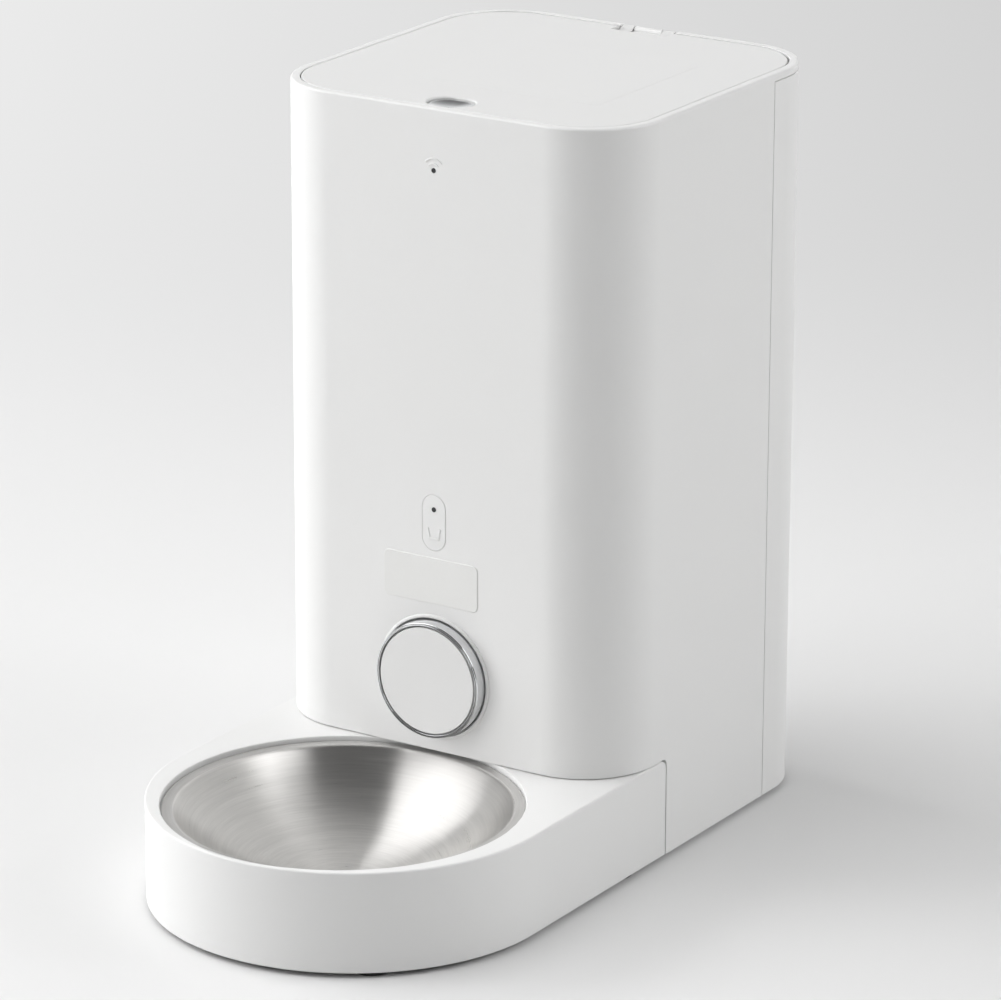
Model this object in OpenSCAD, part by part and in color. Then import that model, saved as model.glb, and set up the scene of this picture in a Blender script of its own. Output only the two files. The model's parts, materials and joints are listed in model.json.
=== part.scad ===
// Automatic pet feeder: a tall food bin with a lid, a metering impeller, a food
// outlet that slides out, and a bowl in a tray that pulls forward.
// Millimetres, Z up. The origin is on the floor under the middle of the whole
// feeder. The tray is towards -Y and the back of the housing towards +Y.

/* [Housing] */
// Width of the housing and of the tray
body_w = 167; // [160:1:185]
// Depth of the housing, front face to back face
body_d = 165; // [160:1:185]
// Height of the rim above the floor
body_h = 311; // [300:1:350]
// Radius of the housing's upright corners
corner_r = 33; // [28:1:38]
// Wall thickness of the housing's shells
wall = 2.5; // [2:0.1:3]
// Height of the rubber feet, which is the gap under the housing
foot_h = 2; // [1.5:0.1:4]
// Radius of the feet
foot_r = 9; // [6:0.5:11]
// Thickness of the base frame's floor, step and ceiling
base_t = 2.5; // [2:0.1:3.5]
// Width of the rim around the lid
rim_w = 3.8; // [3.5:0.1:5]
// Height of the rim
rim_h = 3; // [2.5:0.1:4]
// Rounding of the rim's outer edge
rim_edge_r = 1; // [0.5:0.1:1]
// Depth of the rear cover, back face to seam
rear_cover_d = 43.5; // [38:0.5:50]
// Overlap of the rear cover's tongue behind the seam
tongue_lap = 6; // [3:0.5:10]

/* [Tray and bowl] */
// Reach of the tray in front of the housing
tray_reach = 140.5; // [136:0.5:160]
// Height of the tray's top above the floor
tray_h = 43.5; // [40:0.5:50]
// How far the tray runs back under the housing
tray_under = 43; // [36:0.5:46]
// Wall thickness of the tray
tray_wall = 2.5; // [2:0.1:3]
// Thickness of the tray's top deck
tray_deck = 3; // [2:0.1:4]
// Rounding of the tray's top edge
tray_edge_r = 0.8; // [0.4:0.1:1.5]
// Rounding of the tray's upper back edge
tray_back_r = 4; // [2:0.5:6]
// Thickness of the tray's bottom plate
tray_base_t = 2; // [1.5:0.1:3]
// Radius of the bowl's opening in the tray
bowl_hole_r = 72.5; // [66:0.5:73.5]
// Width of tray left in front of the bowl's opening
bowl_lip = 2.4; // [2:0.1:4]
// Width of the bowl's flat flange
bowl_flange_w = 4.4; // [3:0.1:6]
// Depth of the flange below the tray's top
bowl_sink = 2; // [1.5:0.1:4]
// Depth of the bowl below its flange
bowl_depth = 33.5; // [26:0.5:34]
// Sheet thickness of the bowl
bowl_sheet = 0.8; // [0.6:0.1:1.5]

/* [Food outlet] */
// Height of the outlet's axis above the floor
outlet_z = 75.4; // [74:0.2:84]
// Outer radius of the outlet's bright ring
outlet_r = 24.7; // [22:0.1:25]
// Length of the bright ring
outlet_ring_l = 3.5; // [3:0.1:5]
// Thickness of the bright ring
outlet_ring_t = 1.25; // [1:0.05:2]
// How far the outlet's cap stands in front of the housing
outlet_proud = 5.8; // [5.6:0.1:8]
// Travel of the outlet when it opens
outlet_travel = 22; // [18:0.5:24]
// Wall thickness of the outlet's sliding tube
tube_wall = 1.6; // [1.2:0.1:2.2]
// Height of the white bezel around the outlet
bezel_h = 2; // [1.5:0.1:2.1]
// Width of the bezel's flare on the front face
bezel_flare = 2; // [1:0.1:3]

/* [Front controls] */
// Height of the feed button's middle
feed_z = 140.8; // [138:0.2:160]
// Width of the feed button
feed_w = 10.8; // [9:0.1:14]
// Height of the feed button
feed_h = 23.1; // [18:0.1:26]
// How far the feed button stands proud
feed_proud = 0.3; // [0.1:0.05:1]
// Travel of the feed button
feed_travel = 0.8; // [0.4:0.1:1.2]
// Height of the feed light above the feed button's middle
feed_light_up = 5.6; // [4:0.1:7]
// Depth of the status light below the rim
status_drop = 25; // [23:1:60]
// Radius of the indicator lights
light_r = 1; // [0.7:0.1:1.5]
// Distance from the front face to the control board
board_y = 9; // [8.5:0.1:11]
// Width of the control board
board_w = 64; // [50:1:80]
// Height of the control board
board_h = 46; // [40:1:48]
// Thickness of the circuit boards
board_t = 1.6; // [1:0.1:2]

/* [Lid] */
// Thickness of the lid's top plate
lid_t = 3; // [2.5:0.1:3.2]
// Rounding of the lid's top edge
lid_edge_r = 0.6; // [0.3:0.1:1]
// Depth of the lid's skirt below its plate
skirt_h = 13; // [11:0.5:18]
// Thickness of the lid's skirt
skirt_t = 2; // [1.5:0.1:3]
// Width of the button's recess
recess_w = 20; // [18.5:0.1:24]
// Depth of the button's recess, front to back
recess_d = 15.5; // [14:0.1:18]
// Depth of the button's top below the lid
button_sink = 2.5; // [1.5:0.1:2.6]
// Thickness of the button
button_t = 2.5; // [2.2:0.1:3]
// Travel of the button and of the latch that it draws back
button_travel = 1.5; // [1.2:0.1:1.6]
// Width of the latch
latch_w = 8; // [6:0.2:9]
// Thickness of the latch
latch_t = 1.8; // [1.4:0.1:1.9]
// Gap behind the lid, which it swings up through
hinge_room = 1.2; // [1.1:0.1:1.5]
// Radius of the hinge's barrel
barrel_r = 1.8; // [1.6:0.1:2]
// Radius of the hinge pin
hinge_pin_r = 0.9; // [0.7:0.1:1]
// Width of the hinge block between the lid's arms
hinge_block_w = 13; // [12:0.5:16]
// Width of each of the lid's arms
arm_w = 5.5; // [4:0.5:7]
// Depth of the hinge's notch in the lid
hinge_notch_d = 6.8; // [6:0.1:8]
// Radius of the desiccant cup under the lid
cup_r = 30; // [20:1:40]
// Depth of the desiccant cup
cup_h = 10; // [7:0.5:14]

/* [Food bin] */
// Distance from the housing's outside to the bin's inside, at the front and sides
bin_side = 9.5; // [8.8:0.1:12]
// Distance from the housing's back to the bin's inside
bin_back = 20; // [19:0.5:30]
// Radius of the bin's upright corners, inside
bin_r = 22; // [12:1:26]
// Wall thickness of the bin
bin_wall = 2; // [1.5:0.1:2.4]
// Depth of the bin's top edge below the rim
bin_drop = 9.5; // [9:0.1:11]
// Thickness of the bin's top flange
bin_flange_t = 2.5; // [2:0.1:4]
// Height at which the bin starts to narrow
funnel_z = 205; // [195:1:230]

/* [Metering] */
// Height of the metering floor's underside
meter_z = 122; // [120:0.5:124]
// Thickness of the metering floor
meter_t = 3; // [2.5:0.1:4]
// Inner radius of the metering chamber
chamber_r = 58.5; // [56:0.5:61]
// Wall thickness of the metering chamber
chamber_wall = 2.5; // [2:0.1:3]
// Height of the metering chamber
chamber_h = 43; // [42:1:50]
// Number of impeller blades
blades = 6; // [4:1:8]
// Thickness of an impeller blade
blade_t = 2.5; // [2:0.1:4]
// Height of the impeller
blade_h = 32; // [26:1:33]
// Radius of the impeller's hub
hub_r = 11; // [9:0.5:13]
// Length of the soft tip on each blade
wiper_l = 4; // [2:0.5:8]
// Inner radius of the drop hole in the metering floor
drop_r_in = 22; // [21:0.5:28]
// Outer radius of the drop hole in the metering floor
drop_r_out = 50; // [46:0.5:51]
// Half angle of the drop hole
drop_half_angle = 23; // [18:1:24]
// Wall thickness of the chute
chute_wall = 1.8; // [1.4:0.1:2]

/* [Drive] */
// Module of the gears and of the rack
gear_mod = 1; // [0.9:0.05:1.05]
// Teeth on the impeller's drive gear
drive_teeth = 30; // [26:2:32]
// Teeth on the two pinions
pinion_teeth = 12; // [11:1:13]
// Face width of the gears
gear_face = 6; // [4:0.5:8]
// Radius of the impeller's shaft
shaft_r = 4; // [3:0.1:5]
// Radius of the impeller motor's gearbox
gearbox_r = 17; // [14:0.5:19]
// Length of the impeller motor's gearbox
gearbox_l = 20; // [12:1:24]
// Radius of the impeller motor's can
motor_r = 14; // [10:0.5:17]
// Length of the impeller motor's can
motor_l = 30; // [20:1:34]

/* [Power] */
// Radius of a backup cell
cell_r = 17.1; // [16:0.1:17.1]
// Length of a backup cell without its button
cell_l = 60; // [56:0.5:62]
// Length of a backup cell's button
cell_nub = 1.5; // [1:0.1:2]
// Height of the power inlet above the battery bay
inlet_up = 15; // [12:0.5:25]

/* [Clearances] */
// Gap around the tray where it meets the housing
tray_gap = 0.8; // [0.5:0.1:1.2]
// Gap at the seams that show
seam_gap = 0.4; // [0.2:0.05:0.6]
// Gap between pieces that are fixed together
fit_gap = 0.2; // [0.1:0.05:0.3]
// Gap between pieces that move past each other
run_gap = 0.5; // [0.4:0.05:0.7]
// Running clearance of pins and shafts, on the radius
pin_gap = 0.05; // [0.02:0.01:0.1]
// Thinning of each gear tooth, on each side
backlash = 0.1; // [0.06:0.01:0.15]

/* [Hidden] */
$fn = 96;
white = "whitesmoke";
cream = "ivory";
grey = "silver";
dark = "dimgray";
steel = "lightsteelblue";
rubber = "black";
board_green = "seagreen";
brass = "goldenrod";

// Places along the feeder
front_y = (tray_reach - body_d) / 2;
back_y = front_y + body_d;
body_cy = (front_y + back_y) / 2;
tray_front_y = front_y - tray_reach;
tray_back_y = front_y + tray_under;
seam_y = back_y - rear_cover_d;
far = 2 * (body_d + tray_reach);

// Tray, bowl and the notch that the tray slides into
tray_r = body_w / 2;
tray_arc_y = tray_front_y + tray_r;
notch_y = tray_back_y + tray_gap;
notch_z = tray_h + tray_gap;
notch_r = tray_back_r / 2;
bowl_y = tray_front_y + bowl_lip + bowl_hole_r;
flange_z = tray_h - bowl_sink;
flange_r = bowl_hole_r - run_gap;
bowl_mouth_r = flange_r - bowl_flange_w;
bowl_ball_r = (bowl_mouth_r * bowl_mouth_r + bowl_depth * bowl_depth) / (2 * bowl_depth);
bowl_ball_z = flange_z - bowl_depth + bowl_ball_r;
seat_z = flange_z - bowl_sheet - fit_gap / 2;
seat_t = 2.2;
well_t = 2;
catch_x = 45;
catch_w = 14;
catch_l = 8;
catch_z = 12;
catch_t = 5;
foot_edge = 5;
tray_foot_ring = tray_r - foot_r - 2;
tray_foot_angle = 39;
tray_post_r = 4;
tray_post_x = tray_r - tray_wall - tray_post_r - 1;
tray_posts = [[-tray_post_x, tray_back_y - 9], [tray_post_x, tray_back_y - 9],
              [-tray_post_x, tray_arc_y + 12], [tray_post_x, tray_arc_y + 12]];

// Screws
screw_r = 1.5;
screw_head_r = 2.8;
screw_head_t = 1.8;
screw_l = 8;

// Metering chamber, impeller and drive
rotor_y = body_cy;
meter_top = meter_z + meter_t;
chamber_top = meter_top + chamber_h;
chamber_out = chamber_r + chamber_wall;
hub_z = meter_top + run_gap;
hub_top = hub_z + blade_h;
bush_r = shaft_r + 3;
bush_flange_r = bush_r + 2;
bush_flange_t = 2;
drive_z = meter_z - bush_flange_t - run_gap - gear_face;
drive_r = gear_mod * drive_teeth / 2;
pinion_r = gear_mod * pinion_teeth / 2;
motor_y = rotor_y + drive_r + pinion_r;
motor_shaft_r = 2.5;
bracket_t = 2;
bracket_z = drive_z - run_gap - 1 - bracket_t;
gearbox_top = bracket_z - fit_gap;
boss_r = 6;
clip_t = 1.2;
shield_z = hub_top + 2 * run_gap;
shield_t = 2;
shield_half_angle = drop_half_angle + 10;
post_r = 5;
post_x = 60;
front_row = 24;
back_row = 46;
posts = [for (sx = [-1, 1]) for (dy = [-front_row, back_row]) [sx * post_x, rotor_y + dy]];
meter_half_w = post_x + post_r + 3;
meter_half_d = chamber_out + 2;
sensor_z = meter_top + chamber_h / 2;
sensor_w = 12;
sensor_t = 5;

// Tooth form, with short teeth so that a small pinion does not dig in
pressure = 25;
addendum = 0.8 * gear_mod;
dedendum = 1.05 * gear_mod;

// Chute, outlet tube, rack and its pinion
duct_half_w = drop_r_out * sin(drop_half_angle) + 0.5;
duct_y0 = rotor_y - drop_r_out - 0.5;
duct_y1 = rotor_y - drop_r_in * cos(drop_half_angle) + 0.5;
tube_r = outlet_r - outlet_ring_t - pin_gap;
tube_bore_r = tube_r - tube_wall;
sleeve_r = tube_r + run_gap;
tube_back_y = duct_y0 - chute_wall - run_gap;
cap_t = outlet_ring_l - 1;
bead_r = 0.4;
rack_w = 7;
rack_lug = 4;
rack_x = tube_r + 1.5;
rack_back_t = 3.5;
rack_l = rack_lug + outlet_travel + 12;
rack_pitch_x = rack_x + rack_back_t + dedendum;
door_x = rack_pitch_x + pinion_r;
door_y = tube_back_y + 6;
door_shaft_r = 1.5;
door_box = 14;
door_box_h = 10;
door_can_r = 6;
door_box_top = outlet_z - rack_w / 2 - run_gap - 0.8;

// Food bin
bin_w = body_w - 2 * bin_side;
bin_d = body_d - bin_side - bin_back;
bin_cy = front_y + bin_side + bin_d / 2;
bin_top = body_h - bin_drop;

// Lid, latch and hinge
lid_in = rim_w + seam_gap;
lid_back_y = back_y - rim_w - hinge_room;
lid_d = lid_back_y - front_y - lid_in;
lid_cy = lid_back_y - lid_d / 2;
hinge_z = body_h - barrel_r;
hinge_y = back_y - 0.6 - barrel_r;
arm_x = hinge_block_w / 2 + run_gap;
hinge_notch_x = arm_x + arm_w + run_gap + fit_gap;
hinge_notch_y = lid_back_y - hinge_notch_d;
hinge_foot_y0 = hinge_notch_y + 2 * run_gap;
hinge_foot_y1 = back_y - wall - fit_gap - 0.1;
hinge_screw_y = (hinge_foot_y0 + hinge_foot_y1) / 2;
skirt_gap = 1.8;
skirt_z = body_h - lid_t - skirt_h;
gasket_z = skirt_z + 3;
gasket_h = 2.5;
liner_z = skirt_z + 1;
liner_t = 1.5;
recess_edge = 0.7;
button_y = front_y + lid_in + recess_edge + recess_d / 2;
pocket_wall = recess_edge - 0.1;
pocket_floor_t = 1;
button_z = body_h - button_sink - button_t;
latch_z = button_z - button_travel - 1.3;
pocket_z = latch_z - fit_gap - pocket_floor_t;
channel_z = latch_z + latch_t + button_travel + 0.3;
latch_tip_y = front_y + wall + 0.3;
latch_back_y = button_y + 5;
wedge_t = 2;
wedge_z = pocket_z + pocket_floor_t + button_travel + fit_gap;
wedge_half_w = latch_w / 4;
catch_half_w = latch_w / 2 + 2;
spring_r = 1.6;
spring_hole_r = 1;
spring_x = recess_w / 2 - 3;
dish_depth = 0.6;
dish_r = recess_d / 2 - 1;
dish_ball_r = (dish_r * dish_r + dish_depth * dish_depth) / (2 * dish_depth);
socket_r = cup_r + run_gap;
socket_t = 1.8;
socket_h = 5;
cup_wall = 1.6;
cup_cy = bin_cy + 10;

// Batteries
cell_pitch = 2 * cell_r + 0.8;
bay_half_w = 1.5 * cell_pitch + 1;
bay_back_y = back_y - 14;
contact_t = 0.5;
contact_spring = 1.5;
bay_l = cell_l + cell_nub + contact_spring + 2 * contact_t + 3 * fit_gap;
bay_front_y = bay_back_y - bay_l;
bay_wall = 2;
cell_z = foot_h + base_t + fit_gap + cell_r;
bay_top = cell_z + cell_r + fit_gap;
inlet_z = bay_top + bay_wall + inlet_up;
inlet_w = 14;
inlet_h = 7;
inlet_l = 13;
socket_w = 8.4;
socket_hole_h = 2.8;
power_board_z = inlet_z - inlet_h / 2 - board_t;
power_board_l = 30;
power_board_half_w = 16;
power_post_r = 3;
power_post_x = power_board_half_w - power_post_r - 2;
power_post_rows = [8, power_board_l - 10];

// Control board
board_z = feed_z - 5;
status_z = body_h - status_drop;
board_hole_edge = 4;
board_hole_x = board_w / 2 - board_hole_edge;
board_hole_z = board_h / 2 - board_hole_edge;
board_holes = [for (sx = [-1, 1]) for (sz = [-1, 1]) [sx * board_hole_x, board_z + sz * board_hole_z]];
board_boss_r = 2.6;
board_screw_r = 1;
switch_h = 1.8;
light_flange_t = 1.2;
feed_flange = 1.4;
feed_flange_t = 1.2;

// Rear cover
cover_screw_z = foot_h + base_t + 6;
cover_screw_x = 38;
cover_boss_r = 4;
cover_boss_l = back_y - wall - fit_gap - bay_back_y - bay_wall;

// Extrudes an outline upwards between two heights
module upright(z0, z1) {
  translate([0, 0, z0]) linear_extrude(z1 - z0) children();
}

// Extrudes an outline drawn in X and Z between two depths behind the front face
module depthwise(d0, d1) {
  translate([0, front_y + d1, 0]) rotate([90, 0, 0]) linear_extrude(d1 - d0) children();
}

// Extrudes an outline drawn in Y and Z between two places along X
module sideways(x0, x1) {
  translate([x0, 0, 0]) rotate([90, 0, 90]) linear_extrude(x1 - x0) children();
}

// Rounded rectangle
module rounded(w, d, r) {
  square([w - 2 * r, d], center = true);
  square([w, d - 2 * r], center = true);
  for (sx = [-1, 1]) for (sy = [-1, 1]) translate([sx * (w / 2 - r), sy * (d / 2 - r)]) circle(r);
}

// Rectangle between two corners
module block(x0, y0, x1, y1) {
  translate([x0, y0]) square([x1 - x0, y1 - y0]);
}

// Oval with straight sides: w across, h the other way
module oval(w, h) {
  r = min(w, h) / 2;
  square([w > h ? w - h : w, w > h ? h : h - w], center = true);
  for (s = [-1, 1]) translate([s * (w / 2 - r), s * (h / 2 - r)]) circle(r);
}

// Carries a wall section around a rounded rectangle; its x is measured from the outer face
module sweep(w, d, r) {
  for (i = [0:3]) {
    side = (i % 2 == 0) ? w : d;
    run = (i % 2 == 0) ? d : w;
    rotate(i * 90) {
      translate([side / 2, run / 2 - r, 0]) rotate([90, 0, 0]) linear_extrude(run - 2 * r) children();
      translate([side / 2 - r, run / 2 - r, 0]) rotate_extrude(angle = 90) translate([r, 0]) children();
    }
  }
}

// The housing's plan, drawn in by a distance
module housing_plan(inset) {
  translate([0, body_cy]) rounded(body_w - 2 * inset, body_d - 2 * inset, corner_r - inset);
}

// The food bin's mouth, drawn in by a distance
module mouth_plan(inset) {
  translate([0, bin_cy]) rounded(bin_w - 2 * inset, bin_d - 2 * inset, bin_r - inset);
}

// The button's recess in the lid, drawn in by a distance
module recess_plan(inset) {
  translate([0, button_y]) oval(recess_w - 2 * inset, recess_d - 2 * inset);
}

// The tray's plan, drawn in by a distance
module tray_plan(inset) {
  translate([0, tray_arc_y]) circle(tray_r - inset);
  block(-tray_r + inset, tray_arc_y, tray_r - inset, tray_back_y - inset);
}

// A wall section with a rounded upper outer edge
module edge_section(t, z0, z1, edge_r) {
  block(-t, z0, 0, z1 - edge_r);
  block(-t, z0, -edge_r, z1);
  translate([-edge_r, z1 - edge_r]) circle(edge_r);
}

// Screw with its head up, its head's underside at the origin
module screw(r, head_r, head_t, l) {
  cylinder(r = head_r, h = head_t);
  translate([0, 0, -l]) cylinder(r = r, h = l + head_t / 2);
}

// Angle between an involute's start and its point at a radius
function involute(r, base_r) = let (a = acos(min(1, base_r / r))) tan(a) * 180 / PI - a;

// Half of a tooth's angle at a radius
function half_tooth(r, teeth, pitch_r) =
  let (base_r = pitch_r * cos(pressure))
  90 / teeth + involute(pitch_r, base_r) - involute(max(r, base_r), base_r) - backlash / pitch_r * 180 / PI;

// Outline of a gear with its first tooth along +X
function gear_outline(teeth) =
  let (pitch_r = gear_mod * teeth / 2, root = pitch_r - dedendum, tip = pitch_r + addendum)
  let (base = max(root + 0.05, pitch_r * cos(pressure)))
  let (radii = [root, base, (base + pitch_r) / 2, pitch_r, (pitch_r + tip) / 2, tip], n = len(radii))
  [for (i = [0:teeth - 1]) for (k = [0:2 * n - 1])
    let (r = radii[k < n ? k : 2 * n - 1 - k], side = k < n ? -1 : 1)
    let (a = i * 360 / teeth + side * half_tooth(r, teeth, pitch_r))
    [r * cos(a), r * sin(a)]];

// Main housing: front, sides and the whole rim, open at the back below the rim
module front_shell() {
  color(white) difference() {
    union() {
      translate([0, body_cy, 0]) sweep(body_w, body_d, corner_r) {
        edge_section(wall, foot_h, body_h, rim_edge_r);
      }
      translate([0, body_cy, 0]) sweep(body_w, body_d, corner_r) {
        block(-rim_w, body_h - rim_h, -wall / 2, body_h);
      }
      for (p = board_holes) depthwise(wall / 2, board_y - fit_gap) translate(p) circle(board_boss_r);
      sideways(-catch_half_w, catch_half_w) {
        block(front_y + wall / 2, latch_z + latch_t + 0.7, front_y + rim_w, body_h - rim_h / 2);
      }
    }
    translate([-far / 2, seam_y, -1]) cube([far, far, body_h - rim_h + 1]);
    sideways(-far / 2, far / 2) {
      block(tray_front_y, -1, notch_y - notch_r, notch_z);
      block(tray_front_y, -1, notch_y, notch_z - notch_r);
      translate([notch_y - notch_r, notch_z - notch_r]) circle(notch_r);
    }
    depthwise(-1, wall + 1) translate([0, outlet_z]) circle(sleeve_r + tube_wall + fit_gap);
    depthwise(-1, wall + 1) translate([0, feed_z]) oval(feed_w + 2 * seam_gap, feed_h + 2 * seam_gap);
    depthwise(-1, wall + 1) translate([0, status_z]) circle(light_r + pin_gap);
    translate([-hinge_notch_x, body_cy, body_h - rim_h - 1]) cube([2 * hinge_notch_x, far, rim_h + 2]);
    for (p = board_holes) depthwise(wall, board_y) translate(p) circle(board_screw_r + pin_gap);
  }
}

// Rear cover with a tongue behind each seam
module rear_cover() {
  tongue_t = 2;
  tongue_x = body_w / 2 - wall - fit_gap - tongue_t;
  top = body_h - rim_h - seam_gap;
  color(white) difference() {
    union() {
      intersection() {
        translate([0, body_cy, 0]) sweep(body_w, body_d, corner_r) {
          block(-wall, foot_h, 0, top);
        }
        translate([-far / 2, seam_y + seam_gap, 0]) cube([far, far, body_h]);
      }
      for (s = [0, 1]) mirror([s, 0, 0]) upright(foot_h + base_t + 5, bin_top - bin_flange_t - 5) {
        block(tongue_x, seam_y - tongue_lap, tongue_x + tongue_t, seam_y + 8);
        block(tongue_x, seam_y + seam_gap + 1, body_w / 2 - wall / 2, seam_y + 8);
      }
    }
    translate([-hinge_notch_x, body_cy, hinge_z - barrel_r - run_gap]) cube([2 * hinge_notch_x, far, rim_h]);
    translate([0, back_y + 1, inlet_z]) rotate([90, 0, 0]) linear_extrude(wall + 2) {
      oval(socket_w + 3, socket_hole_h + 3);
    }
    for (s = [-1, 1]) translate([s * cover_screw_x, back_y + 1, cover_screw_z]) rotate([90, 0, 0]) {
      cylinder(r = screw_r + fit_gap, h = wall + 2);
      cylinder(r = screw_head_r + fit_gap, h = 1 + wall / 2);
    }
  }
}

// Base frame: floor, step behind the tray, ceiling over it, battery bay and the posts of the metering base
module base_frame() {
  color(grey) difference() {
    union() {
      intersection() {
        upright(-1, body_h) housing_plan(wall + fit_gap);
        union() {
          translate([-far / 2, notch_y, foot_h]) cube([far, far, base_t]);
          translate([-far / 2, notch_y, foot_h]) cube([far, base_t, notch_z + base_t - foot_h]);
          translate([-far / 2, front_y, notch_z]) cube([far, notch_y + base_t - front_y, base_t]);
        }
      }
      for (p = posts) translate([p[0], p[1], foot_h + base_t / 2]) {
        cylinder(r = post_r, h = meter_z - fit_gap - foot_h - base_t / 2);
      }
      upright(foot_h, bay_top + bay_wall) {
        block(-bay_half_w - bay_wall, bay_front_y - bay_wall, bay_half_w + bay_wall, bay_back_y + bay_wall);
      }
      for (s = [-1, 1]) translate([s * cover_screw_x, bay_back_y + bay_wall / 2, cover_screw_z]) {
        rotate([-90, 0, 0]) cylinder(r = cover_boss_r, h = cover_boss_l + bay_wall / 2);
      }
      for (s = [-1, 1]) for (d = power_post_rows) {
        translate([s * power_post_x, bay_back_y - d, bay_top + bay_wall / 2]) {
          cylinder(r = power_post_r, h = power_board_z - fit_gap - bay_top - bay_wall / 2);
        }
      }
    }
    upright(0, bay_top) block(-bay_half_w, bay_front_y, bay_half_w, bay_back_y);
    for (p = posts) translate([p[0], p[1], meter_z - screw_l]) cylinder(r = screw_r + pin_gap, h = screw_l);
    for (s = [-1, 1]) sideways(s * catch_x - catch_w / 2 - run_gap, s * catch_x + catch_w / 2 + run_gap) {
      block(notch_y - 1, catch_z - run_gap, notch_y + base_t + 1, catch_z + catch_t + run_gap);
    }
    for (s = [-1, 1]) translate([s * cover_screw_x, back_y, cover_screw_z]) {
      rotate([90, 0, 0]) cylinder(r = screw_r + pin_gap, h = wall + cover_boss_l);
    }
  }
}

// Food bin: square above, narrowing to the round metering chamber
module food_bin() {
  neck_h = 4;
  neck_z = chamber_top + fit_gap;
  lap = 0.5;
  color(cream) difference() {
    union() {
      upright(funnel_z, bin_top) mouth_plan(-bin_wall);
      upright(bin_top - bin_flange_t, bin_top) housing_plan(wall + fit_gap);
      hull() {
        upright(funnel_z, funnel_z + lap) mouth_plan(-bin_wall, $fn = 32);
        translate([0, rotor_y, neck_z + neck_h - lap]) cylinder(r = chamber_out, h = lap, $fn = 64);
      }
      translate([0, rotor_y, neck_z]) cylinder(r = chamber_out, h = neck_h);
    }
    upright(funnel_z, bin_top + 1) mouth_plan(0);
    hull() {
      upright(funnel_z, funnel_z + lap) mouth_plan(0, $fn = 32);
      translate([0, rotor_y, neck_z + neck_h - lap]) cylinder(r = chamber_r, h = lap, $fn = 64);
    }
    translate([0, rotor_y, neck_z - 1]) cylinder(r = chamber_r, h = neck_h + 1);
    for (s = [-1, 1]) translate([s * hinge_block_w / 4, hinge_screw_y, bin_top - bin_flange_t - 1]) {
      cylinder(r = screw_r + fit_gap, h = bin_flange_t + 2);
    }
  }
}

// Sector of a ring in front of the rotor's axis
module front_sector(r_in, r_out, half_angle) {
  translate([0, rotor_y]) intersection() {
    difference() {
      circle(r_out);
      circle(r_in);
    }
    reach = 2 * r_out * [sin(half_angle), -cos(half_angle)];
    polygon([[0, 0], [-reach[0], reach[1]], reach]);
  }
}

// Metering base: the floor with the drop hole, and the chamber's wall
module metering_base() {
  color(cream) difference() {
    union() {
      upright(meter_z, meter_top) {
        block(-meter_half_w, rotor_y - meter_half_d, meter_half_w, rotor_y + meter_half_d);
      }
      translate([0, rotor_y, meter_z]) cylinder(r = chamber_out, h = chamber_top - meter_z);
    }
    translate([0, rotor_y, meter_top]) cylinder(r = chamber_r, h = chamber_h + 1);
    translate([0, rotor_y, meter_z - 1]) cylinder(r = bush_r + pin_gap, h = meter_t + 2);
    upright(meter_z - 1, meter_top + 1) front_sector(drop_r_in, drop_r_out, drop_half_angle);
    for (p = posts) translate([p[0], p[1], meter_z - 1]) cylinder(r = screw_r + fit_gap, h = meter_t + 2);
  }
}

// Shield over the drop hole, so that only a metered portion falls
module drop_shield() {
  color(cream) upright(shield_z, shield_z + shield_t) {
    front_sector(hub_r + 2, chamber_r - pin_gap, shield_half_angle);
  }
}

// Chute from the drop hole to the outlet, with the sleeve that guides the outlet's tube
module chute() {
  top = meter_z - fit_gap;
  low = outlet_z - tube_bore_r;
  high = outlet_z + tube_bore_r - 2;
  plate_r = sleeve_r + tube_wall;
  slot_half_h = rack_w / 2 + run_gap;
  color(cream) difference() {
    union() {
      sideways(-duct_half_w - chute_wall, duct_half_w + chute_wall) {
        polygon([[duct_y0 - chute_wall, top], [duct_y0 - chute_wall, low - chute_wall],
                 [duct_y0 + 1, low - chute_wall],
                 [duct_y1 + chute_wall, high - chute_wall], [duct_y1 + chute_wall, top]]);
      }
      depthwise(wall + fit_gap, duct_y0 - front_y) translate([0, outlet_z]) circle(plate_r);
    }
    sideways(-duct_half_w, duct_half_w) {
      polygon([[duct_y0, top + 1], [duct_y0, low], [duct_y1, high], [duct_y1, top + 1]]);
    }
    depthwise(0, duct_y0 - chute_wall - front_y) translate([0, outlet_z]) circle(sleeve_r);
    depthwise(0, duct_y0 + 0.5 - front_y) translate([0, outlet_z]) circle(min(tube_bore_r, duct_half_w));
    depthwise(wall, duct_y0 + 1 - front_y) {
      block(tube_r - 2, outlet_z - slot_half_h, far, outlet_z + slot_half_h);
    }
  }
}

// White bezel with a hollow flare onto the front face
module outlet_bezel() {
  spigot_r = sleeve_r + tube_wall;
  color(white) translate([0, front_y, outlet_z]) rotate([90, 0, 0]) rotate_extrude() {
    block(sleeve_r, -wall, spigot_r, bezel_h);
    difference() {
      block(spigot_r - 0.1, 0, spigot_r + bezel_flare, bezel_h);
      translate([spigot_r + bezel_flare, bezel_h]) circle(min(bezel_h, bezel_flare));
    }
  }
}

// Impeller motor with its gearbox
module gear_motor() {
  color(steel) translate([0, motor_y, 0]) difference() {
    union() {
      translate([0, 0, gearbox_top - gearbox_l]) cylinder(r = gearbox_r, h = gearbox_l);
      translate([0, 0, gearbox_top - gearbox_l - motor_l]) cylinder(r = motor_r, h = motor_l + 1);
      translate([0, 0, gearbox_top - 1]) cylinder(r = boss_r, h = bracket_t + fit_gap + 1);
    }
    translate([0, 0, gearbox_top - gearbox_l / 2]) cylinder(r = motor_shaft_r + pin_gap, h = gearbox_l);
  }
}

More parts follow.
